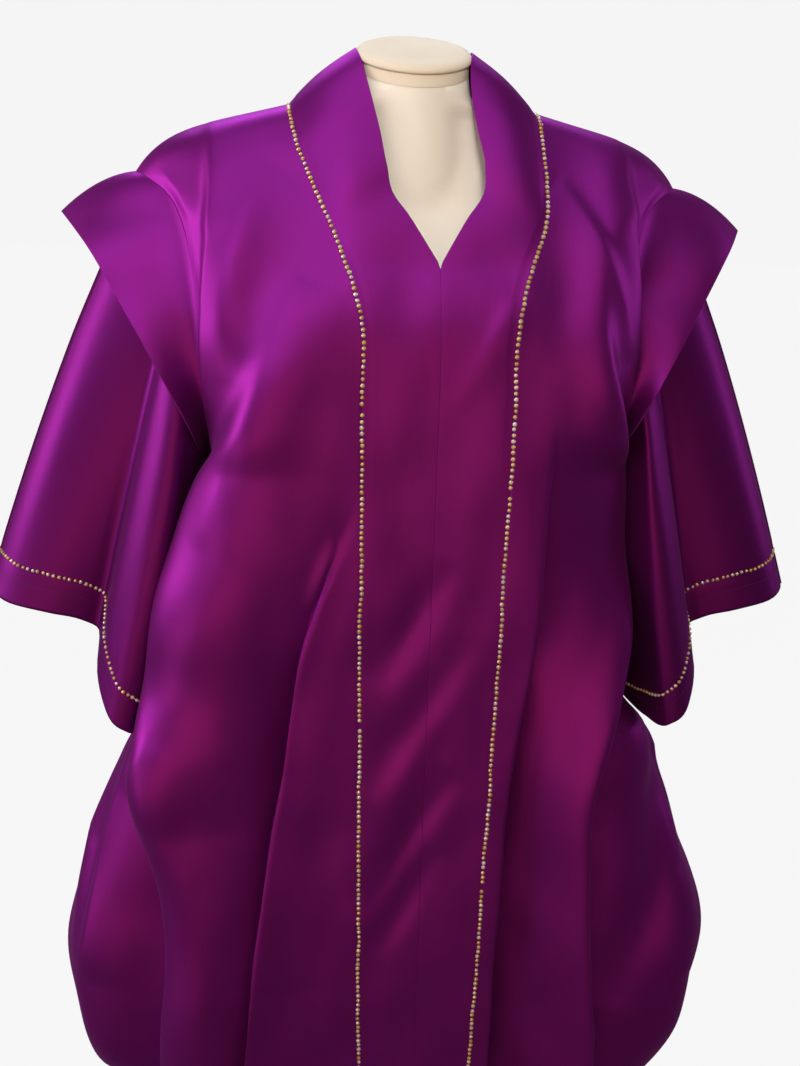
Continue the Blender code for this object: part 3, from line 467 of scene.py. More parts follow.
def swelling(around, height, centre, before, after):
    off = around - centre
    return height * np.exp(-((off / np.where(off > 0, after, before)) ** 2))


def sleeve(side, places, downs):
    """The sleeve's outer surface, at places round the armhole (0 to -2) and downs from 0 to 1."""
    rows = len(SLEEVE["armhole"])
    keys = np.arange(-LAP_ROWS, rows + LAP_ROWS + 1)
    lap = SLEEVE["armhole"][keys % rows] - 2.0 * (keys // rows)
    cuff = [through(-lap, SLEEVE[c][keys % rows], -np.asarray(places)) for c in "xyz"]
    cuff = np.stack(cuff, axis=1) * [side, 1, 1]
    top = armhole(side, places)
    top += unit(np.array(ARMHOLE_MIDDLE) * [side, 1, 1] - top) * TOP_TUCK + [side * TOP_OUT, 0, 0]
    top[:, 1] *= TOP_FLAT
    around = -np.asarray(places)
    lobe = swelling(around, *LOBE_HOLLOW) + swelling(around, *LOBE_RIDGE)
    nearer = swelling(around, *UNDERARM)
    grid = []
    for down in downs:
        row = top + (cuff - top) * down
        arch = math.sin(math.pi * min(1, down))
        swell = ARCH * arch * ease(down / ARCH_GROWTH)
        swell = swell + lobe * ease(down / LOBE_GROWTH) + nearer * arch
        grid.append(row + unit(row - row.mean(axis=0)) * swell[:, None])
    return np.array(grid)


print("underarm:", np.round(armhole(1, [-1.0])[0], 3))

# %% The wing's surface
WING_INSET = 0.03  # how far in from the armhole the panel's direction is read
FLOW_START, FLOW_LENGTH = 0.02, 0.16  # where the wing takes up the panel's direction
WING_CROWN = 0.010  # how high the wing arches at the shoulder


def wing(side, acrosses, alongs):
    """The shoulder wing, from the armhole seam (across 0) to its free edge (across 1)."""
    alongs = np.asarray(alongs)
    root = armhole(side, alongs)
    edge = points(WING, "x y z", np.abs(alongs), "armhole") * [side, 1, 1]
    edge[:, 1] *= np.where(alongs > 0, -1, 1)
    reach = np.linalg.norm(edge - root, axis=1, keepdims=True)
    flow = unit(root - armhole(side, alongs, WING_INSET)) * reach
    share = ease((np.abs(alongs) - FLOW_START) / FLOW_LENGTH)[:, None]
    leave = (edge - root) * (1 - share) + flow * share
    crown = np.zeros_like(root)
    crown[:, 2] = WING_CROWN * (1 - np.abs(alongs) / np.abs(alongs).max())
    grid = []
    for s in acrosses:
        near, mid, far = 3 * s * (1 - s) ** 2, 3 * s * s * (1 - s), s**3
        row = root * (1 - s) ** 3 + (root + leave / 3 + crown) * near
        grid.append(row + (edge - (edge - root) / 3 + crown) * mid + edge * far)
    return np.array(grid).transpose(1, 0, 2)


print("tip of the right wing:", np.round(wing(1, [1.0], [0.0, WING_INSET])[0][0], 3))

# %% [markdown]
# ## The satin
# Heavy satin is a shiny cloth whose threads float over each other: the light runs along them, so
# it has broad soft highlights that keep the cloth's own colour, and it turns wine red where it
# falls away from the sky. A plain glossy paint would show white spots. Here a part-metallic
# shader keeps the highlight coloured, threads and slubs come from the cloth's own UV map in
# metres, and a slow noise varies the sheen. The sleeves have a darker copy of the same satin,
# which is painted shade: it stands in for the shade they hang in under the wings.

# %% Helpers for materials
MIX_FACTOR, MIX_FIRST, MIX_SECOND, MIX_RESULT = 0, 6, 7, 2  # the Mix node's colour sockets
NOISE_LOW, NOISE_HIGH = 0.3, 0.7  # between these lies nearly all of a noise


def new_material(name):
    made = bpy.data.materials.new(name)
    made.use_nodes = True
    return made, made.node_tree.nodes, made.node_tree.links, made.node_tree.nodes["Principled BSDF"]


def set_values(shader, values):
    """Sets numbers and colours that are the same all over, each on the shader's own socket."""
    for socket, value in values.items():
        shader.inputs[socket].default_value = value


def mapped(nodes, links, source, scale):
    mapping = nodes.new("ShaderNodeMapping")
    mapping.inputs["Scale"].default_value = scale
    links.new(source, mapping.inputs["Vector"])
    return mapping.outputs["Vector"]


def noise(nodes, links, vector, scale, detail=3.0):
    made = nodes.new("ShaderNodeTexNoise")
    made.inputs["Scale"].default_value = scale
    made.inputs["Detail"].default_value = detail
    links.new(vector, made.inputs["Vector"])
    return made.outputs["Fac"]


def ranged(nodes, links, value, to_low, to_high):
    made = nodes.new("ShaderNodeMapRange")
    made.inputs["From Min"].default_value = NOISE_LOW
    made.inputs["From Max"].default_value = NOISE_HIGH
    made.inputs["To Min"].default_value = to_low
    made.inputs["To Max"].default_value = to_high
    links.new(value, made.inputs["Value"])
    return made.outputs["Result"]


def mixed(nodes, links, factor, first, second):
    made = nodes.new("ShaderNodeMix")
    made.data_type = "RGBA"
    made.inputs[MIX_FIRST].default_value = (*first, 1)
    made.inputs[MIX_SECOND].default_value = (*second, 1)
    links.new(factor, made.inputs[MIX_FACTOR])
    return made.outputs[MIX_RESULT]


def bumped(nodes, links, height, strength, distance, below=None):
    made = nodes.new("ShaderNodeBump")
    made.inputs["Strength"].default_value = strength
    made.inputs["Distance"].default_value = distance
    links.new(height, made.inputs["Height"])
    if below is not None:
        links.new(below, made.inputs["Normal"])
    return made.outputs["Normal"]


print("a noise is read from", NOISE_LOW, "to", NOISE_HIGH)

# %% The satin in two tones
SATIN_VALUES = {
    "Metallic": 0.85,
    "Specular Tint": (0.95, 0.45, 1.0, 1),
    "Sheen Weight": 0.12,
    "Sheen Tint": (0.80, 0.30, 0.95, 1),
    "Sheen Roughness": 0.4,
}
SATIN_ROUGH = (0.41, 0.46)
TONE_SCALE = 5.0  # the slow change of tone, in patches of about 0.2 m
THREADS, SLUBS = (3500, 60, 1), (500, 25, 1)  # noise cells for each metre across and along
RIPPLE, RIPPLE_SCALE = (1, 1, 0.5), 38.0
THREAD_BUMP, SLUB_BUMP, RIPPLE_BUMP = (0.16, 0.0002), (0.20, 0.0004), (0.10, 0.004)


def make_satin(name, dark, light):
    made, nodes, links, shader = new_material(name)
    uv = nodes.new("ShaderNodeUVMap")
    uv.uv_map = "cloth"
    metres = uv.outputs["UV"]
    place = nodes.new("ShaderNodeTexCoord").outputs["Object"]
    slow = noise(nodes, links, place, TONE_SCALE)
    links.new(mixed(nodes, links, slow, dark, light), shader.inputs["Base Color"])
    links.new(ranged(nodes, links, slow, *SATIN_ROUGH), shader.inputs["Roughness"])
    set_values(shader, SATIN_VALUES)
    threads = noise(nodes, links, mapped(nodes, links, metres, THREADS), 1.0, 2.0)
    slubs = noise(nodes, links, mapped(nodes, links, metres, SLUBS), 1.0, 3.0)
    ripple = noise(nodes, links, mapped(nodes, links, place, RIPPLE), RIPPLE_SCALE, 2.0)
    first = bumped(nodes, links, threads, *THREAD_BUMP)
    second = bumped(nodes, links, slubs, *SLUB_BUMP, first)
    third = bumped(nodes, links, ripple, *RIPPLE_BUMP, second)
    links.new(third, shader.inputs["Normal"])
    return made


PURPLE = (0.285, 0.013, 0.275), (0.315, 0.016, 0.305)
# painted shade: the sleeves' satin is a darker copy of the robe's, for the shade they hang in under
# the wings
SHADED_SLEEVE_PURPLE = (0.200, 0.009, 0.196), (0.222, 0.011, 0.218)
satin = make_satin("purple_satin", *PURPLE)
painted_shade_sleeve_satin = make_satin("painted_shade_sleeve_satin", *SHADED_SLEEVE_PURPLE)
print("satin nodes:", len(satin.node_tree.nodes))

# %% [markdown]
# ## Cloth from a grid
# Every piece of the robe is one flat grid laid on its surface, as a cutter lays a pattern piece
# on the cloth. The grid's UV map is kept in metres of cloth, so threads have one size on every
# piece. The hem rows turn in and up, the edges at a seam roll in a little, and a Solidify
# modifier gives the cloth its thickness.

# %% Seams, edges and hems of a grid
SEAM_ROLL = 0.0004  # how far an edge dips where it is sewn
ROLL_SHARES = (1.0, 0.8, 0.1)  # the dip of the first, second and third row from the edge
EDGE_HOLD = 0.0005
HEM_DEPTH, HEM_GAP = 0.022, 0.0022
HEM_DIP, HEM_RISE = 0.0006, 0.001  # the two rows of the fold under a hem's edge


def sewn(edges, grid, normals):
    """Rolls rows and columns of the grid in at its seams: edges holds the sides that are sewn."""
    rows, columns = grid.shape[:2]
    for word in edges.split():
        for step, share in enumerate(ROLL_SHARES):
            place = {
                "first": (slice(None), step),
                "last": (slice(None), columns - 1 - step),
                "top": (step, slice(None)),
                "bottom": (rows - 1 - step, slice(None)),
            }[word]
            grid[place] -= normals[place] * SEAM_ROLL * share
    return grid


def held(grid, wrapped):
    """Draws the second row and column of each side close to the edge, so the edge stays crisp."""
    grid = grid.copy()
    sides = [(0, 1), (-1, -2)]
    for edge, near in sides:
        grid[near] = grid[edge] + unit(grid[near] - grid[edge]) * EDGE_HOLD
    if not wrapped:
        for edge, near in sides:
            grid[:, near] = grid[:, edge] + unit(grid[:, near] - grid[:, edge]) * EDGE_HOLD
    return grid


def surface_normals(grid, middle, wrapped=False):
    across = np.gradient(grid, axis=1)
    if wrapped:
        ring = np.concatenate([grid[:, -2:-1], grid, grid[:, 1:2]], axis=1)
        across = np.gradient(ring, axis=1)[:, 1:-1]
    normals = unit(np.cross(across, np.gradient(grid, axis=0)))
    return normals * np.sign(np.sum(normals * (grid - middle), axis=(0, 1)).sum())


def turned_in(grid, normals, depth=HEM_DEPTH):
    """Adds the rows of a hem that turns in and up behind the last row."""
    length = np.linalg.norm(grid[-2] - grid[-1], axis=1, keepdims=True)
    up = (grid[-2] - grid[-1]) / length
    inside = grid[-1] - normals[-1] * HEM_GAP
    rows = [(grid[-1] + inside) / 2 - up * HEM_DIP, inside + up * HEM_RISE]
    rows += [inside + up * depth * share for share in (0.5, 1.0)]
    return np.concatenate([grid, np.array(rows)])


def cut_of(grid):
    """The widest row, the longest column and the area of a grid, in metres and square metres."""
    across = np.linalg.norm(np.diff(grid, axis=1), axis=-1)
    down = np.linalg.norm(np.diff(grid, axis=0), axis=-1)
    corner = np.cross(grid[1:, 1:] - grid[:-1, :-1], grid[1:, :-1] - grid[:-1, 1:])
    area = np.linalg.norm(corner, axis=-1).sum() / 2
    return across.sum(axis=1).max(), down.sum(axis=0).max(), area


print("hems turn up", HEM_DEPTH, "m")

# %% Turn a grid of points into a piece of cloth
CLOTH_THICK = 0.0011
WELD = 1e-6  # points nearer than this are one


def laid_grid(name, grid):
    """A flat grid of faces laid on the grid's points, with its UV map in metres of cloth."""
    rows, columns = grid.shape[:2]
    bm = bmesh.new()
    bm.loops.layers.uv.new("cloth")
    bmesh.ops.create_grid(bm, x_segments=columns - 1, y_segments=rows - 1, size=1, calc_uvs=True)
    mesh = bpy.data.meshes.new(name)
    bm.to_mesh(mesh)
    bm.free()
    flat = np.empty(len(mesh.vertices) * 3)
    mesh.vertices.foreach_get("co", flat)
    flat = flat.reshape(-1, 3)
    i = np.rint((flat[:, 0] + 1) / 2 * (columns - 1)).astype(int)
    j = np.rint((flat[:, 1] + 1) / 2 * (rows - 1)).astype(int)
    mesh.vertices.foreach_set("co", grid[j, i].ravel())
    layer = mesh.uv_layers["cloth"].data
    uvs = np.empty(len(layer) * 2)
    layer.foreach_get("uv", uvs)
    uvs = uvs.reshape(-1, 2)
    across = lengths(grid[rows // 2])
    down = lengths(grid[:, columns // 2])
    uvs[:, 0] = np.interp(uvs[:, 0], np.linspace(0, 1, columns), across)
    uvs[:, 1] = np.interp(uvs[:, 1], np.linspace(0, 1, rows), down)
    layer.foreach_set("uv", uvs.ravel())
    return mesh


def place_in_scene(name, mesh, look):
    """Makes the mesh an object of the scene that rides on the model's root."""
    mesh.materials.append(look)
    made = bpy.data.objects.new(name, mesh)
    bpy.context.scene.collection.objects.link(made)
    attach(made, "root")
    return made


def cloth(name, grid, normals, wrapped=False, thick=CLOTH_THICK, look=satin):
    """A piece of cloth on a grid; a wrapped piece is a tube whose last column meets its first."""
    rows, columns = grid.shape[:2]
    grid = held(grid, wrapped)
    print(name, "is cut", "%.3f x %.3f m, %.3f m2" % cut_of(grid))
    mesh = laid_grid(name, grid)
    bm = bmesh.new()
    bm.from_mesh(mesh)
    if wrapped:
        bmesh.ops.remove_doubles(bm, verts=bm.verts, dist=WELD)
    bm.normal_update()
    bm.faces.ensure_lookup_table()
    middle = rows // 3, columns // 2
    centre = Vector(grid[middle])
    near = min(bm.faces, key=lambda face: (face.calc_center_median() - centre).length)
    if near.normal.dot(Vector(normals[middle])) < 0:
        bmesh.ops.reverse_faces(bm, faces=bm.faces)
    bm.to_mesh(mesh)
    bm.free()
    mesh.shade_smooth()
    made = place_in_scene(name, mesh, look)
    wall = made.modifiers.new("wall", "SOLIDIFY")
    wall.thickness, wall.offset = thick, -1
    return made


# %% [markdown]
# ## Front panels and back
# The front panel runs from the beaded seam round to the armhole and, below it, the side seam. The
# back is one panel. The whole body could be one mesh, but a sewn robe shows its seams, so it is
# three pieces cut from the same surface, which meet edge to edge.

# %% Rows of the body's grids
SHOULDER_ROWS, SKIRT_ROWS = 84, 150
FRONT_COLUMNS, BACK_COLUMNS = 182, 205
DROPS = np.concatenate([
    np.linspace(0, ARM_DROP, SHOULDER_ROWS),
    np.linspace(ARM_DROP, HEM_DROP, SKIRT_ROWS)[1:],
])
print("rows from shoulder to hem:", len(DROPS))

# %% Slow unevenness of the cloth
WAVES = (  # length of the wave across and down in metres, its height and its phase
    (0.110, 0.420, 0.0009, 0.3),
    (0.071, 0.300, 0.0006, 2.1),
    (0.047, 0.210, 0.0003, 4.0),
    (0.160, 0.150, 0.0007, 1.2),
)
CYCLE = 6.28  # one wave, as an angle
BEND, BEND_PACE, BEND_PHASE = 0.7, 5, 3  # how the waves wander from side to side
DEPTH_PACE = 9  # how fast the phase changes from the front to the back
WAVES_TOP, WAVES_GROWTH = 1.45, 0.25  # the waves grow from nothing below this height


def rippled(grid, normals):
    """Slow unevenness of hanging cloth, the same on both sides of every seam."""
    x, y, z = np.moveaxis(grid, -1, 0)
    height = 0
    for across, down, size, phase in WAVES:
        bend = BEND * np.sin(z / down * BEND_PACE + phase * BEND_PHASE)
        side_wave = np.sin(x / across * CYCLE + phase + bend)
        height = height + size * side_wave * np.cos(z / down * CYCLE + y * DEPTH_PACE + phase)
    return grid + normals * (height * ease((WAVES_TOP - z) / WAVES_GROWTH))[..., None]


print("waves:", len(WAVES), "up to", sum(wave[2] for wave in WAVES), "m high together")

# %% Creases laid on a grid
CREASE_STEPS, CREASE_REACH, CREASE_ENDS = 24, 2.5, 0.7


def creased(grid, normals):
    """Lays the short creases on a front grid: each is a smooth curve through its three points."""
    flat, height = grid[..., [0, 2]].reshape(-1, 2), np.zeros(grid[..., 0].size)
    t = np.linspace(0, 1, CREASE_STEPS + 1)[:, None]
    for x0, z0, x1, z1, x2, z2, left, right, stand in zip(*CREASES.values()):
        first, last = np.array([x0, z0]), np.array([x2, z2])
        turn = 2 * np.array([x1, z1]) - (first + last) / 2
        path = (1 - t) ** 2 * first + 2 * t * (1 - t) * turn + t * t * last
        reach = CREASE_REACH * max(left, right)
        low, high = path.min(axis=0) - reach, path.max(axis=0) + reach
        inside = np.all((flat > low) & (flat < high), axis=1)
        if not inside.any():
            continue
        step = np.diff(path, axis=0)
        gap = flat[inside][:, None] - path[:-1]
        share = np.clip((gap * step).sum(-1) / (step * step).sum(-1), 0, 1)
        off = gap - share[..., None] * step
        pick = np.arange(len(off)), np.argmin((off * off).sum(-1), axis=1)
        at, off, way = share[pick] + pick[1], off[pick], unit(step[pick[1]])
        beside = off[:, 1] * way[:, 0] - off[:, 0] * way[:, 1]
        width = np.where(beside > 0, right, left)
        fade = np.sin(np.pi * np.clip(at / CREASE_STEPS, 0, 1)) ** CREASE_ENDS
        height[inside] += stand * fade * np.exp(-(off * off).sum(-1) / width**2)
    return grid + normals * height.reshape(grid.shape[:2] + (1,))


print("the broadest crease reaches", CREASE_REACH * CREASES["right"].max(), "m to one side")

# %% The two front panels
SIDE_FADE = 0.07  # how near the side seam the creases die away
SIDES = (("left", -1), ("right", 1))


def front_cloth(name, side):
    places = np.linspace(BAND_SHARE, 1, FRONT_COLUMNS)
    grid = body(side * places, DROPS)
    normals = surface_normals(grid, grid * [0, 0, 1])
    hold = ease((1 - places) / SIDE_FADE)[None, :, None]
    grid = rippled(grid + (creased(grid, normals) - grid) * hold, normals)
    grid = sewn("first top", grid, normals)
    below_arm = slice(len(DROPS) // 3, None)
    grid[below_arm] = sewn("last", grid[below_arm], normals[below_arm])
    return cloth(name, turned_in(grid, normals), normals)


fronts = {word: front_cloth(f"front_panel_{word}", side) for word, side in SIDES}
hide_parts("front_left")
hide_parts("front_right")

# %% The back in one panel
FULL_ROUND = 4  # from the centre front once round the robe and back to it
around = np.linspace(1 + TINY, 3 - TINY, BACK_COLUMNS)
back_grid = body(np.where(around > 2, around - FULL_ROUND, around), DROPS)
back_normals = surface_normals(back_grid, back_grid * [0, 0, 1])
back_grid = sewn("first last top", rippled(back_grid, back_normals), back_normals)
back_cloth = cloth("back_panel", turned_in(back_grid, back_normals), back_normals)
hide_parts("back")
print("back:", len(back_cloth.data.polygons), "faces")

# %% [markdown]
# ## The two front bands
# Each band is stiffened, so it lies flatter than the panels. A faint seam runs inside the stones,
# where the band was turned over its interlining. It is a groove in the grid and not a bump in the
# satin, so that it is in the mesh itself as well.

# %% Bands
CENTRE_ROLL = 0.0001
NECK_ROWS, BAND_COLUMNS = 30, 31
BAND_WIDTH, GROOVE_IN, GROOVE_WIDTH, GROOVE_DEPTH = 0.085, 0.007, 0.0016, 0.0008
GROOVE_END, GROOVE_FADE, NECK_FADE = 0.50, 0.30, 0.03  # where the groove dies away
BAND_DROPS = np.concatenate([np.linspace(-NECK_DROP, 0, NECK_ROWS)[:-1], DROPS])


def band_cloth(name, side):
    shares = np.linspace(0, 1, BAND_COLUMNS)
    grid = band(side, shares, BAND_DROPS)
    normals = surface_normals(grid, grid * [0, 0, 1])
    groove = np.exp(-(((1 - shares) * BAND_WIDTH - GROOVE_IN) / GROOVE_WIDTH) ** 2)
    grid = rippled(creased(grid, normals), normals)
    fade = ease((GROOVE_END - BAND_DROPS) / GROOVE_FADE)
    fade *= ease((BAND_DROPS + NECK_DROP) / NECK_FADE)
    grid -= normals * (GROOVE_DEPTH * fade[:, None] * groove)[..., None]
    grid = sewn("last", grid, normals)
    closed = BAND_DROPS >= V_DROP
    grid[closed, 0] -= normals[closed, 0] * CENTRE_ROLL
    return cloth(name, turned_in(grid, normals), normals)


bands = {word: band_cloth(f"front_band_{word}", side) for word, side in SIDES}
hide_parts("band_left")
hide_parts("band_right")

# %% [markdown]
# ## Sleeves and cuffs
# A sleeve is a tube, wide at the armhole and caught back at the front so that a lobe of cloth
# falls below the arm. The cuff is the deep hem below the stones. Both are cut from one grid, as
# they are one tube in the wearing, and a small gap between them is the seam.

# %% Sleeves
SLEEVE_PLACES = -np.linspace(0, 2, 161)
SLEEVE_ROWS, CUFF_ROWS = 70, 14
CUFF_GAP, CUFF_HEM = 0.0006, 0.030  # half the seam, as a share of the sleeve; the turned hem


def tube_normals(grid):
    return surface_normals(grid, grid[:, :-1].mean(axis=1, keepdims=True), True)


def sleeve_cloths(word, side):
    above = np.linspace(0, CUFF_SHARE - CUFF_GAP, SLEEVE_ROWS)
    below = np.linspace(CUFF_SHARE + CUFF_GAP, 1, CUFF_ROWS)
    grid = sleeve(side, SLEEVE_PLACES, np.concatenate([above, below]))
    normals = tube_normals(grid)
    top_normals, cuff_normals = normals[:SLEEVE_ROWS], normals[SLEEVE_ROWS:]
    top = sewn("bottom", grid[:SLEEVE_ROWS], top_normals)
    cuff = turned_in(sewn("top", grid[SLEEVE_ROWS:], cuff_normals), cuff_normals, CUFF_HEM)
    made = cloth(f"sleeve_cloth_{word}", top, top_normals, wrapped=True, look=painted_shade_sleeve_satin)
    hem = cloth(f"cuff_cloth_{word}", cuff, cuff_normals, wrapped=True, look=painted_shade_sleeve_satin)
    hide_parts(f"sleeve_{word}")
    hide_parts(f"cuff_{word}")


for word, side in SIDES:
    sleeve_cloths(word, side)

# %% [markdown]
# ## Shoulder wings
# Each wing is a stiff folded flap. Its root is sewn in the armhole seam, its tip stands out over
# the sleeve, and it narrows towards the chest in front and the shoulder blade behind. It is thicker
# than the rest, since it is two layers with a stiffener between them.

# %% Wings
WING_END, WING_THICK = 0.86, 0.0018
WING_ROWS, WING_COLUMNS = 121, 32
UNDER_WING = np.array([0.25, 0, 1.2])  # a point inside the sleeve, so that faces point away


def wing_cloth(word, side):
    alongs = np.linspace(-WING_END, WING_END, WING_ROWS)
    grid = wing(side, np.linspace(0, 1, WING_COLUMNS), alongs)
    normals = surface_normals(grid, UNDER_WING * [side, 1, 1])
    made = cloth(f"wing_cloth_{word}", grid, normals, thick=WING_THICK)
    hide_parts(f"wing_{word}")


for word, side in SIDES:
    wing_cloth(word, side)

# %% [markdown]
# ## Dress form and its neck cap
# The form is a smooth moulded shell in cream plastic. It is a stack of level rings, bridged into
# one skin. Only its chest and neck show in the V, and the fine vertical lines there are the
# strokes of its painted finish. Rings of the body alone would give a pinched neck, so a round neck
# that widens downwards is added to each of them. The cap is a turned piece, flush with the neck
# but for its thin rim. Its darker, warmer cream is painted shade, for the warm shade under the rim
# and to hold down its brightly lit top.

# %% Rings for turned and lofted shapes
def round_ring(z, half, front, back, square, tilt=0.0, count=96):
    """A closed ring, round when square is 2 and nearer to a box when it is more."""
    turn = np.linspace(0, 2 * math.pi, count, endpoint=False)
    c, s = np.cos(turn), np.sin(turn)
    x = half * np.sign(c) * np.abs(c) ** (2 / square)
    y = np.where(s > 0, back, front) * np.sign(s) * np.abs(s) ** (2 / square)
    return np.stack([x, y, z + y * math.tan(tilt)], axis=1)


def lofted(name, rings, look, sharp=40):
    """Bridges a stack of rings into one closed skin."""
    bm = bmesh.new()
    loops = []
    for ring in rings:
        made = bmesh.ops.create_circle(bm, segments=len(ring), radius=1)["verts"]
        for vert, place in zip(made, ring):
            vert.co = place
        loops.append(made)
    for low, high in zip(loops, loops[1:]):
        edges = [e for v in low + high for e in v.link_edges if len(e.link_faces) < 2]
        bmesh.ops.bridge_loops(bm, edges=list(dict.fromkeys(edges)))
    for loop in (loops[0], loops[-1]):
        bm.faces.new(loop)
    bmesh.ops.recalc_face_normals(bm, faces=bm.faces)
    mesh = bpy.data.meshes.new(name)
    bm.to_mesh(mesh)
    bm.free()
    mesh.shade_smooth()
    mesh.set_sharp_from_angle(angle=math.radians(sharp))
    print(name, "is a skin of", len(rings), "rings")
    return place_in_scene(name, mesh, look)


# %% Cream plastic with brushed strokes
STROKES, STROKE_BUMP = (420, 420, 7), (0.16, 0.0006)
CLOUD_SCALE, CLOUD_DETAIL = 14.0, 4.0
PLASTIC_ROUGH = (0.60, 0.74)
PLASTIC_VALUES = {"Subsurface Weight": 0.08, "Subsurface Radius": (0.006, 0.003, 0.002)}


def make_plastic(name, dark, light):
    made, nodes, links, shader = new_material(name)
    place = nodes.new("ShaderNodeTexCoord").outputs["Object"]
    strokes = noise(nodes, links, mapped(nodes, links, place, STROKES), 1.0, 3.0)
    clouds = noise(nodes, links, place, CLOUD_SCALE, CLOUD_DETAIL)
    tone = ranged(nodes, links, clouds, 0.0, 1.0)
    links.new(mixed(nodes, links, tone, dark, light), shader.inputs["Base Color"])
    links.new(ranged(nodes, links, strokes, *PLASTIC_ROUGH), shader.inputs["Roughness"])
    set_values(shader, PLASTIC_VALUES)
    links.new(bumped(nodes, links, strokes, *STROKE_BUMP), shader.inputs["Normal"])
    return made


CREAM = (0.88, 0.82, 0.72), (0.93, 0.88, 0.80)
# painted shade: darker and warmer than the form's cream, for the shade under the cap's rim and its
# brightly lit top
SHADED_CREAM = (0.76, 0.66, 0.52), (0.82, 0.73, 0.60)
plastic = make_plastic("cream_plastic", *CREAM)
painted_shade_cap_plastic = make_plastic("painted_shade_cap_plastic", *SHADED_CREAM)
print("plastics:", plastic.name, "and", painted_shade_cap_plastic.name)

# %% The form's rings, from its foot to the neck
FORM = table(
    "z half front back square",
    (0.800, 0.140, 0.085, 0.085, 2.2),
    (0.806, 0.156, 0.100, 0.100, 2.2),
    (0.840, 0.164, 0.106, 0.108, 2.2),
    (0.920, 0.160, 0.100, 0.106, 2.2),
    (1.020, 0.132, 0.088, 0.086, 2.2),
    (1.120, 0.142, 0.104, 0.088, 2.2),
    (1.200, 0.152, 0.118, 0.090, 2.2),
    (1.260, 0.164, 0.106, 0.090, 2.1),
    (1.310, 0.178, 0.078, 0.080, 2.0),
    (1.345, 0.190, 0.058, 0.068, 1.8),
    (1.370, 0.196, 0.046, 0.058, 1.6),
    (1.392, 0.198, 0.040, 0.052, 1.4),
    (1.408, 0.198, 0.038, 0.050, 1.25),
    (1.418, 0.000, 0.042, 0.042, 1.0),
    (1.428, 0.000, 0.044, 0.044, 1.0),
    (1.434, 0.000, 0.046, 0.046, 1.05),
    (1.440, 0.086, 0.049, 0.049, 1.6),
    (1.446, 0.066, 0.051, 0.051, 1.8),
    (1.452, 0.056, 0.0518, 0.0518, 2.0),
)
NECK_TOP_Z, NECK_R, CAP_TILT = 1.474, 0.0525, math.radians(20)
print("the neck is", 2 * NECK_R, "m wide at the cap")

# %% The form in one skin
NECK_FLARE, FLARE_TOP_Z, FLARE_HEIGHT = 0.006, 1.44, 0.09
NECK_STEP = 0.0003  # how far the neck lies inside its own top ring
SHOULDER_CLEAR = 0.0026  # the cloth's wall and a gap, above the form's shoulder
FOOT_ROWS, SHOULDER_PART = 2, slice(13, 16)  # rows of the foot, rows under the shoulder seam
BODY_LOW_Z, BODY_TOP_Z, BODY_RINGS = 0.812, 1.408, 70
BODY_SHARP, CAP_SHARP = 70, 60  # edges that turn more than this many degrees stay sharp


def necked(ring):
    """The ring with the round neck added to it, a little wider further down."""
    neck = NECK_R - NECK_STEP + NECK_FLARE * ease((FLARE_TOP_Z - ring[:, 2:]) / FLARE_HEIGHT)
    reach = np.linalg.norm(ring[:, :2], axis=1, keepdims=True)
    return np.column_stack([ring[:, :2] * np.maximum(1, neck / reach), ring[:, 2]])


top_line = shoulder_line()
under_cloth = SHOULDER_CLEAR - top_line[:, 2]
shoulder_z = FORM["z"][SHOULDER_PART]
FORM["half"][SHOULDER_PART] = np.interp(-shoulder_z, under_cloth, top_line[:, 0])
foot_rings = [round_ring(*row) for row in zip(*[column[:FOOT_ROWS] for column in FORM.values()])]
smooth_z = np.linspace(BODY_LOW_Z, BODY_TOP_Z, BODY_RINGS)
body_rings = []
for z in np.concatenate([smooth_z, FORM["z"][SHOULDER_PART.start :]]):
    sizes = [np.interp(z, FORM["z"], FORM[name]) for name in "half front back square".split()]
    body_rings.append(necked(round_ring(z, *sizes)))
neck_ring = round_ring(NECK_TOP_Z, NECK_R, NECK_R, NECK_R, 2.0, CAP_TILT)
form_rings = [*foot_rings, *body_rings, neck_ring]
form = lofted("form_body", form_rings, plastic, BODY_SHARP)
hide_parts("dress_form")

# %% The cap on the neck
CAP = table(
    "up r",
    (0.0000, 0.0527),
    (0.0100, 0.0529),
    (0.0108, 0.0523),
    (0.0114, 0.0534),
    (0.0124, 0.0548),
    (0.0140, 0.0554),
    (0.0165, 0.0550),
    (0.0184, 0.0530),
    (0.0196, 0.0495),
    (0.0200, 0.0440),
)
CAP_FOOT_Z = NECK_TOP_Z + 0.0003  # a thin gap above the neck


def turned_rings(heights, radii, tilt=0.0, count=96):
    """The rings of a turned piece, from its foot up."""
    return [round_ring(z, r, r, r, 2.0, tilt, count) for z, r in zip(heights, radii)]


cap_rings = turned_rings(CAP_FOOT_Z + CAP["up"], CAP["r"], CAP_TILT)
cap = lofted("form_cap", cap_rings, painted_shade_cap_plastic, CAP_SHARP)
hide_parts("neck_cap")

# %% [markdown]
# ## Stand
# A steel pole carries the form on a heavy round plate. Both are turned pieces, so they are stacks
# of round rings. They are plain, so their finish carries them: fine brushing round the pole, and a
# rounded rim on the plate that catches a line of light.

# %% Brushed steel
BRUSHING, BRUSH_BUMP = (40, 40, 1400), (0.15, 0.0002)
STEEL_ROUGH = (0.26, 0.40)
STEEL_VALUES = {"Base Color": (0.56, 0.56, 0.57, 1), "Metallic": 1.0}


def make_steel():
    made, nodes, links, shader = new_material("brushed_steel")
    place = nodes.new("ShaderNodeTexCoord").outputs["Object"]
    brushing = noise(nodes, links, mapped(nodes, links, place, BRUSHING), 1.0, 2.0)
    set_values(shader, STEEL_VALUES)
    links.new(ranged(nodes, links, brushing, *STEEL_ROUGH), shader.inputs["Roughness"])
    links.new(bumped(nodes, links, brushing, *BRUSH_BUMP), shader.inputs["Normal"])
    return made


steel = make_steel()
print("steel nodes:", len(steel.node_tree.nodes))

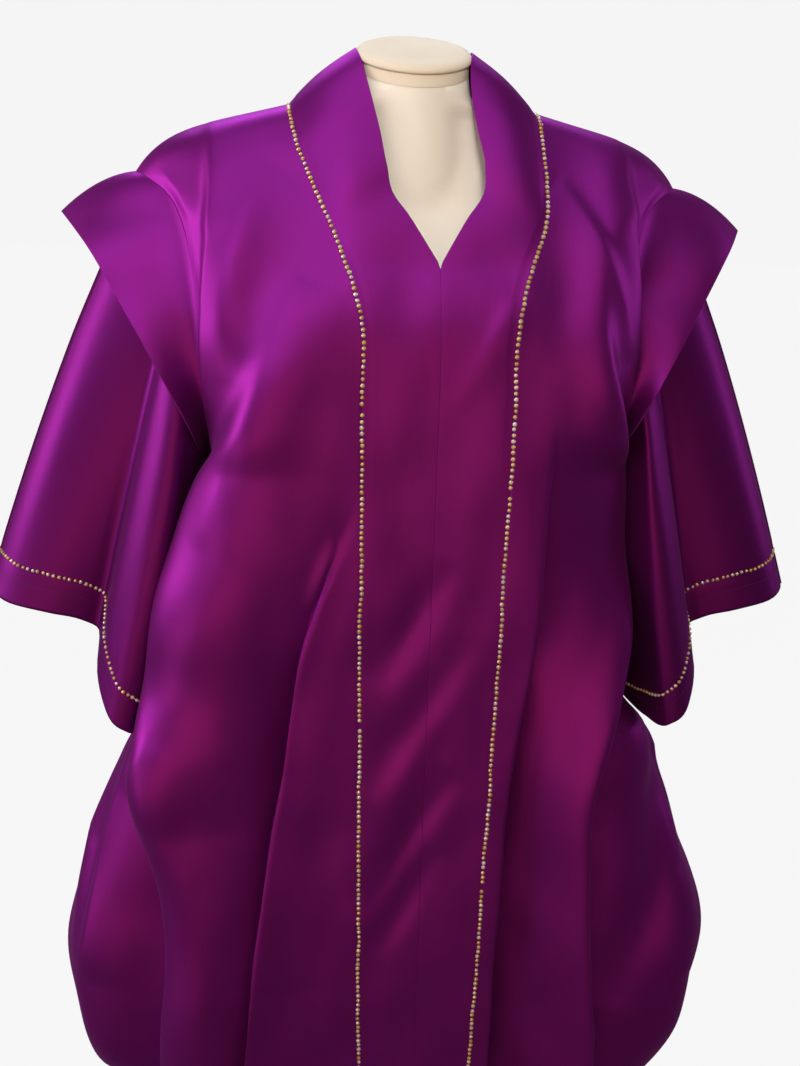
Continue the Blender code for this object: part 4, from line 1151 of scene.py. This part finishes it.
# %% Pole and base
POLE = table(
    "z r",
    (0.0123, 0.0140),
    (0.0160, 0.0140),
    (0.1500, 0.0140),
    (0.4000, 0.0140),
    (0.7960, 0.0140),
    (0.7997, 0.0136),
)
BASE = table(
    "z r",
    (0.0000, 0.1540),
    (0.0008, 0.1550),
    (0.0075, 0.1550),
    (0.0090, 0.1546),
    (0.0104, 0.1534),
    (0.0114, 0.1512),
    (0.0120, 0.1480),
)
pole_rings = turned_rings(POLE["z"], POLE["r"], count=64)
pole = lofted("steel_pole", pole_rings, steel)
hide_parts("stand_pole")
base_rings = turned_rings(BASE["z"], BASE["r"], count=128)
base = lofted("steel_base", base_rings, steel)
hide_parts("stand_base")

# %% [markdown]
# ## Stones
# A single row of small stones in gold cups runs down each band seam and round each cuff. Each is a
# cut cone on a rim, eight-sided to catch the light, and pressed onto the cloth. A row is one joined
# mesh, with a tone stored on each stone so that some look gold and some clear. Hundreds of
# separate objects would be slow to handle, and a painted dot wouldn't stand out from the cloth.

# %% Stone metal and crystal
STONE_VALUES = {
    "Metallic": 0.35,
    "Roughness": 0.16,
    "Coat Weight": 0.6,
    "Coat Roughness": 0.06,
}
GOLD, PALE_GOLD, CLEAR = (0.80, 0.52, 0.12, 1), (0.93, 0.80, 0.42, 1), (0.95, 0.93, 0.86, 1)
PALE_GOLD_AT = 0.55  # the share of the stones that are darker than pale gold


def make_stone_finish():
    made, nodes, links, shader = new_material("gold_stones")
    tone = nodes.new("ShaderNodeAttribute")
    tone.attribute_name = "tone"
    ramp = nodes.new("ShaderNodeValToRGB")
    links.new(tone.outputs["Fac"], ramp.inputs["Fac"])
    steps = ramp.color_ramp.elements
    steps[0].color, steps[1].color = GOLD, CLEAR
    steps.new(PALE_GOLD_AT).color = PALE_GOLD
    links.new(ramp.outputs["Color"], shader.inputs["Base Color"])
    set_values(shader, STONE_VALUES)
    return made


stone_finish = make_stone_finish()
print("stone finish:", stone_finish.name)

# %% One cut stone
STONE_SIDES = 8
STONE_HEIGHT = 0.93  # of its radius
STONE_FOOT = -0.0004  # how deep the stone is pressed into the cloth
STONE_RINGS = ((1.0, 0.45), (0.82, 0.62), (0.42, 1.0))  # each ring's radius and height, as shares


def add_stone(bm, layer, centre, normal, along, radius, tone, turn):
    side = np.cross(normal, along)
    tall = STONE_HEIGHT * radius
    rings = [(radius, STONE_FOOT)] + [(radius * wide, tall * up) for wide, up in STONE_RINGS]
    loops = []
    for r, up in rings:
        made = bmesh.ops.create_circle(bm, segments=STONE_SIDES, radius=r)["verts"]
        for k, vert in enumerate(made):
            angle = turn + k * 2 * math.pi / STONE_SIDES
            spoke = along * math.cos(angle) + side * math.sin(angle)
            vert.co = Vector(centre + normal * up + spoke * r)
            vert[layer] = tone
        loops.append(made)
    for low, high in zip(loops, loops[1:]):
        for k in range(STONE_SIDES):
            after = (k + 1) % STONE_SIDES
            bm.faces.new((low[k], low[after], high[after], high[k]))
    bm.faces.new(loops[-1])


print("sides on a stone:", STONE_SIDES)

# %% Lay a row of stones along a seam
STONE_PITCH, STONE_R, BAND_STONE_R = 0.0054, 0.00175, 0.0020
DRIFT_KEPT, DRIFT_STEP = 0.80, 0.00045  # how a row wanders from its line
PITCH_PLAY, STONE_TURN, STONE_SIZES = 0.10, 0.7, (0.88, 1.08)
LOOK_AHEAD = 0.003  # the length over which the row's direction is read


def read_path(length, path, at):
    """The point of a path at a length along it, or the normal there from a row of normals."""
    return np.array([np.interp(at, length, path[:, c]) for c in range(3)])


def stone_row(name, path, normals, seed, missing=(), radius=STONE_R):
    """Stones at an even pitch along a path, each a little off line as when set by hand."""
    draw = random.Random(seed)
    length = lengths(path)
    count = int(length[-1] / STONE_PITCH)
    bm = bmesh.new()
    layer = bm.verts.layers.float.new("tone")
    drift = 0.0
    for k in range(count):
        drift = DRIFT_KEPT * drift + draw.uniform(-DRIFT_STEP, DRIFT_STEP)
        at = (k + 0.5 + draw.uniform(-PITCH_PLAY, PITCH_PLAY)) * STONE_PITCH
        tone, turn, size = draw.random(), draw.uniform(0, STONE_TURN), draw.uniform(*STONE_SIZES)
        if k in missing:
            continue
        centre, normal = read_path(length, path, at), unit(read_path(length, normals, at))
        if at + LOOK_AHEAD < length[-1]:
            along = unit(read_path(length, path, at + LOOK_AHEAD) - centre)
        along = unit(along - normal * along.dot(normal))
        centre = centre + np.cross(normal, along) * drift
        add_stone(bm, layer, centre, normal, along, radius * size, tone, turn)
    bmesh.ops.recalc_face_normals(bm, faces=bm.faces)
    mesh = bpy.data.meshes.new(name)
    bm.to_mesh(mesh)
    bm.free()
    print(name, "has", count - len(missing), "stones")
    place_in_scene(name, mesh, stone_finish)


print("stones are", STONE_PITCH, "m apart")

# %% Rows down the band seams
BESIDE_SEAM, ROW_MARGIN, PATH_POINTS = 0.012, 0.004, 500
LOST_STONES = {"left": (61, 118), "right": (74, 150)}
BAND_SEED, CUFF_SEED = 11, 31


def seam_path(side, drops):
    """The beaded seam and the cloth's normal there."""
    beside = np.array([BAND_SHARE - BESIDE_SEAM, BAND_SHARE, BAND_SHARE + BESIDE_SEAM])
    grid = body(side * beside, drops)
    normals = surface_normals(grid, grid * [0, 0, 1])
    grid = rippled(creased(grid, normals), normals)
    return grid[:, 1], normals[:, 1]


for word, side in SIDES:
    path, normals = seam_path(side, np.linspace(ROW_MARGIN, HEM_DROP - ROW_MARGIN, PATH_POINTS))
    name, lost = f"stones_band_{word}", LOST_STONES[word]
    stone_row(name, path, normals, BAND_SEED + side, lost, BAND_STONE_R)

# %% Rows above the cuffs
CUFF_ROW = np.array([0.895, CUFF_SHARE, 0.92])  # the row, between two that give the slope


def sleeve_ring(side, downs):
    """The middle one of three rings of the sleeve, with the cloth's normals there."""
    grid = sleeve(side, SLEEVE_PLACES, downs)
    return grid[1], tube_normals(grid)[1]


for word, side in SIDES:
    stone_row(f"stones_cuff_{word}", *sleeve_ring(side, CUFF_ROW), CUFF_SEED + side)

# %% [markdown]
# ## Stitches
# Small machine stitches hold the turned hems of the cuffs. A painted line would be flat, and a
# round thread would need many faces, so each stitch is a short low bar on the cloth, and one row
# is joined in one mesh.

# %% The thread
THREAD_DARK, THREAD_LIGHT = (0.09, 0.004, 0.09), (0.17, 0.012, 0.17)
TWIST_SCALE, TWIST_BUMP, THREAD_ROUGH = 900.0, (0.3, 0.0002), 0.55


def make_thread():
    made, nodes, links, shader = new_material("purple_thread")
    place = nodes.new("ShaderNodeTexCoord").outputs["Object"]
    twist = noise(nodes, links, place, TWIST_SCALE, 2.0)
    links.new(mixed(nodes, links, twist, THREAD_DARK, THREAD_LIGHT), shader.inputs["Base Color"])
    set_values(shader, {"Roughness": THREAD_ROUGH})
    links.new(bumped(nodes, links, twist, *TWIST_BUMP), shader.inputs["Normal"])
    return made


thread = make_thread()
print("thread nodes:", len(thread.node_tree.nodes))

# %% Stitched rows
STITCH, STITCH_STEP, THREAD_R = 0.0024, 0.0034, 0.00025
BAR = (STITCH, 2 * THREAD_R, 1.4 * THREAD_R)
BAR_RISE, BAR_FACES = 0.4 * THREAD_R, 6
STITCH_RING = np.array([0.93, 0.945, 0.96])


def stitch_row(name, path, normals):
    length = lengths(path)
    bm = bmesh.new()
    for at in np.arange(ROW_MARGIN, length[-1] - ROW_MARGIN, STITCH_STEP):
        start, end = read_path(length, path, at), read_path(length, path, at + STITCH)
        normal, run = unit(read_path(length, normals, at)), unit(end - start)
        turned = Matrix((run, np.cross(normal, run), normal)).transposed().to_4x4()
        bar = bmesh.ops.create_cube(bm, size=1.0)["verts"]
        bmesh.ops.scale(bm, vec=BAR, verts=bar)
        bmesh.ops.transform(bm, matrix=turned, verts=bar)
        bmesh.ops.translate(bm, vec=Vector((start + end) / 2 + normal * BAR_RISE), verts=bar)
    mesh = bpy.data.meshes.new(name)
    bm.to_mesh(mesh)
    bm.free()
    print(name, "has", len(mesh.polygons) // BAR_FACES, "stitches")
    place_in_scene(name, mesh, thread)


for word, side in SIDES:
    stitch_row(f"stitches_cuff_{word}", *sleeve_ring(side, STITCH_RING))

# %% [markdown]
# ## What was cut
# The cut size comes from the piece's own measured width and length, since satin drapes but hardly
# stretches. The numbers are those that the cells above print, with the turned hems in them.

# %% [markdown]
# ## Studio
# A pale floor and a pale dome fill the view. Cloth as dark and shiny as this mirrors whatever is
# bright, so the floor and the dome are seen by the camera alone. The robe is lit by a dim even room
# and by large soft panels: cool ones from above and behind, stronger ones on the left than on the
# right, and warm ones in front, which give the wine red of the skirt. The pale neck would stay dull
# in that light, so a spot is linked to the form and its cap and to nothing else.

# %% Floor and dome
PALE, DOME_R, DOME_INSET = (0.93, 0.93, 0.93, 1), 40, 0.98
FLOOR_GLOW, FLOOR_ALBEDO, DOME_GLOW, DOME_ALBEDO = 0.985, 0.02, 0.98, 0.0


def pale_stage(name, bm, glow, albedo):
    mesh = bpy.data.meshes.new(name)
    bm.to_mesh(mesh)
    bm.free()
    made = bpy.data.objects.new(name, mesh)
    bpy.context.scene.collection.objects.link(made)
    look, _, _, shader = new_material(name)
    set_values(shader, {
        "Base Color": (albedo, albedo, albedo, 1),
        "Roughness": 1.0,
        "Specular IOR Level": 0.0,
        "Emission Color": PALE,
        "Emission Strength": glow,
    })
    mesh.materials.append(look)
    made.visible_diffuse = made.visible_glossy = made.visible_shadow = False


bm = bmesh.new()
bmesh.ops.create_circle(bm, cap_ends=True, segments=96, radius=DOME_R)
pale_stage("studio_floor", bm, FLOOR_GLOW, FLOOR_ALBEDO)
bm = bmesh.new()
bmesh.ops.create_uvsphere(bm, u_segments=48, v_segments=24, radius=DOME_R * DOME_INSET)
pale_stage("studio_dome", bm, DOME_GLOW, DOME_ALBEDO)
print("the dome is", DOME_R * DOME_INSET, "m in radius")

# %% Even room light
ROOM_COLOUR, ROOM_STRENGTH = (1.0, 0.92, 0.84, 1), 0.10
world = bpy.data.worlds.new("studio_room")
bpy.context.scene.world = world
world.use_nodes = True
room = world.node_tree.nodes["Background"]
room.inputs["Color"].default_value = ROOM_COLOUR
room.inputs["Strength"].default_value = ROOM_STRENGTH
bpy.context.scene.view_settings.view_transform = "Standard"
print("room light:", ROOM_STRENGTH)

# %% Soft lights
CHEST = Vector((0, 0, 1.05))
LIGHTS = (  # where each soft panel is, its size, its power and its colour
    ("back_top", (0.0, 1.6, 3.0), (1.8, 1.2), 22, (0.82, 0.90, 1.0)),
    ("far_left", (-2.6, 0.3, 1.9), (1.2, 2.0), 17, (1.0, 0.90, 0.88)),
    ("far_right", (2.6, 0.3, 1.9), (1.0, 2.0), 8, (0.96, 0.92, 1.0)),
    ("front", (-0.2, -3.0, 1.3), (3.2, 2.6), 16, (1.0, 0.66, 0.38)),
    ("front_low", (-0.9, -2.4, 0.2), (1.6, 1.0), 3, (1.0, 0.60, 0.40)),
    ("left", (-2.6, -0.3, 1.7), (1.2, 1.6), 12, (0.96, 0.94, 1.0)),
    ("left_low", (-2.2, -1.2, 0.4), (1.4, 1.0), 5, (1.0, 0.84, 0.72)),
    ("left_top", (-1.3, -1.4, 2.9), (1.8, 1.6), 13, (0.94, 0.93, 1.0)),
    ("top", (0.0, -0.5, 3.4), (1.8, 1.2), 8, (0.88, 0.92, 1.0)),
    ("top_front", (0.1, -1.8, 3.1), (1.8, 1.0), 6, (1.0, 0.82, 0.70)),
)


def aimed(name, light, place, target):
    """Hangs a lamp in the scene, pointed at its target."""
    made = bpy.data.objects.new(name, light)
    made.location = place
    made.rotation_euler = (target - Vector(place)).to_track_quat("-Z", "Y").to_euler()
    bpy.context.scene.collection.objects.link(made)
    return made


for name, place, size, power, colour in LIGHTS:
    light = bpy.data.lights.new(name, "AREA")
    light.shape, light.size, light.size_y = "RECTANGLE", size[0], size[1]
    light.energy, light.color = power, colour
    aimed(name, light, place, CHEST)
print("soft panels:", len(LIGHTS), "with", sum(row[3] for row in LIGHTS), "W in all")

# %% A spot for the form alone
SPOT_PLACE, SPOT_TARGET = (-0.20, -2.6, 2.3), Vector((0, -0.06, 1.40))
SPOT_POWER, SPOT_COLOUR, SPOT_RADIUS = 520, (1.0, 0.94, 0.84), 0.50
SPOT_ANGLE, SPOT_BLEND = math.radians(12), 0.5
snoot = bpy.data.lights.new("neck_spot", "SPOT")
snoot.energy, snoot.color, snoot.shadow_soft_size = SPOT_POWER, SPOT_COLOUR, SPOT_RADIUS
snoot.spot_size, snoot.spot_blend = SPOT_ANGLE, SPOT_BLEND
neck_spot = aimed("neck_spot", snoot, SPOT_PLACE, SPOT_TARGET)
lit_by_spot = bpy.data.collections.new("lit_by_spot")
for piece in (form, cap):
    lit_by_spot.objects.link(piece)
neck_spot.light_linking.receiver_collection = lit_by_spot

# %% Camera
YAW, PITCH, ROLL = math.radians(6.0), math.radians(15.0), math.radians(1.7)
REACH, EYE = 1.221, 1.345  # how far off the camera stands, and how high
FOCAL, FRAME_HEIGHT, SENSOR = 1200, 1066, 36  # pixels, pixels and millimetres
ahead = Vector((math.sin(YAW) * math.cos(PITCH), math.cos(YAW) * math.cos(PITCH), -math.sin(PITCH)))
level_right = ahead.cross(Vector((0, 0, 1))).normalized()
level_up = level_right.cross(ahead)
camera_x = level_right * math.cos(ROLL) + level_up * math.sin(ROLL)
camera_y = -level_right * math.sin(ROLL) + level_up * math.cos(ROLL)
turned = Matrix((camera_x, camera_y, -ahead)).transposed().to_4x4()
stand = Matrix.Translation((-REACH * math.sin(YAW), -REACH * math.cos(YAW), EYE))
camera = bpy.data.objects.new("camera", bpy.data.cameras.new("camera"))
camera.data.lens, camera.data.sensor_width = FOCAL / FRAME_HEIGHT * SENSOR, SENSOR
camera.matrix_world = stand @ turned
bpy.context.scene.collection.objects.link(camera)
bpy.context.scene.camera = camera
print("lens:", round(camera.data.lens, 1), "mm")
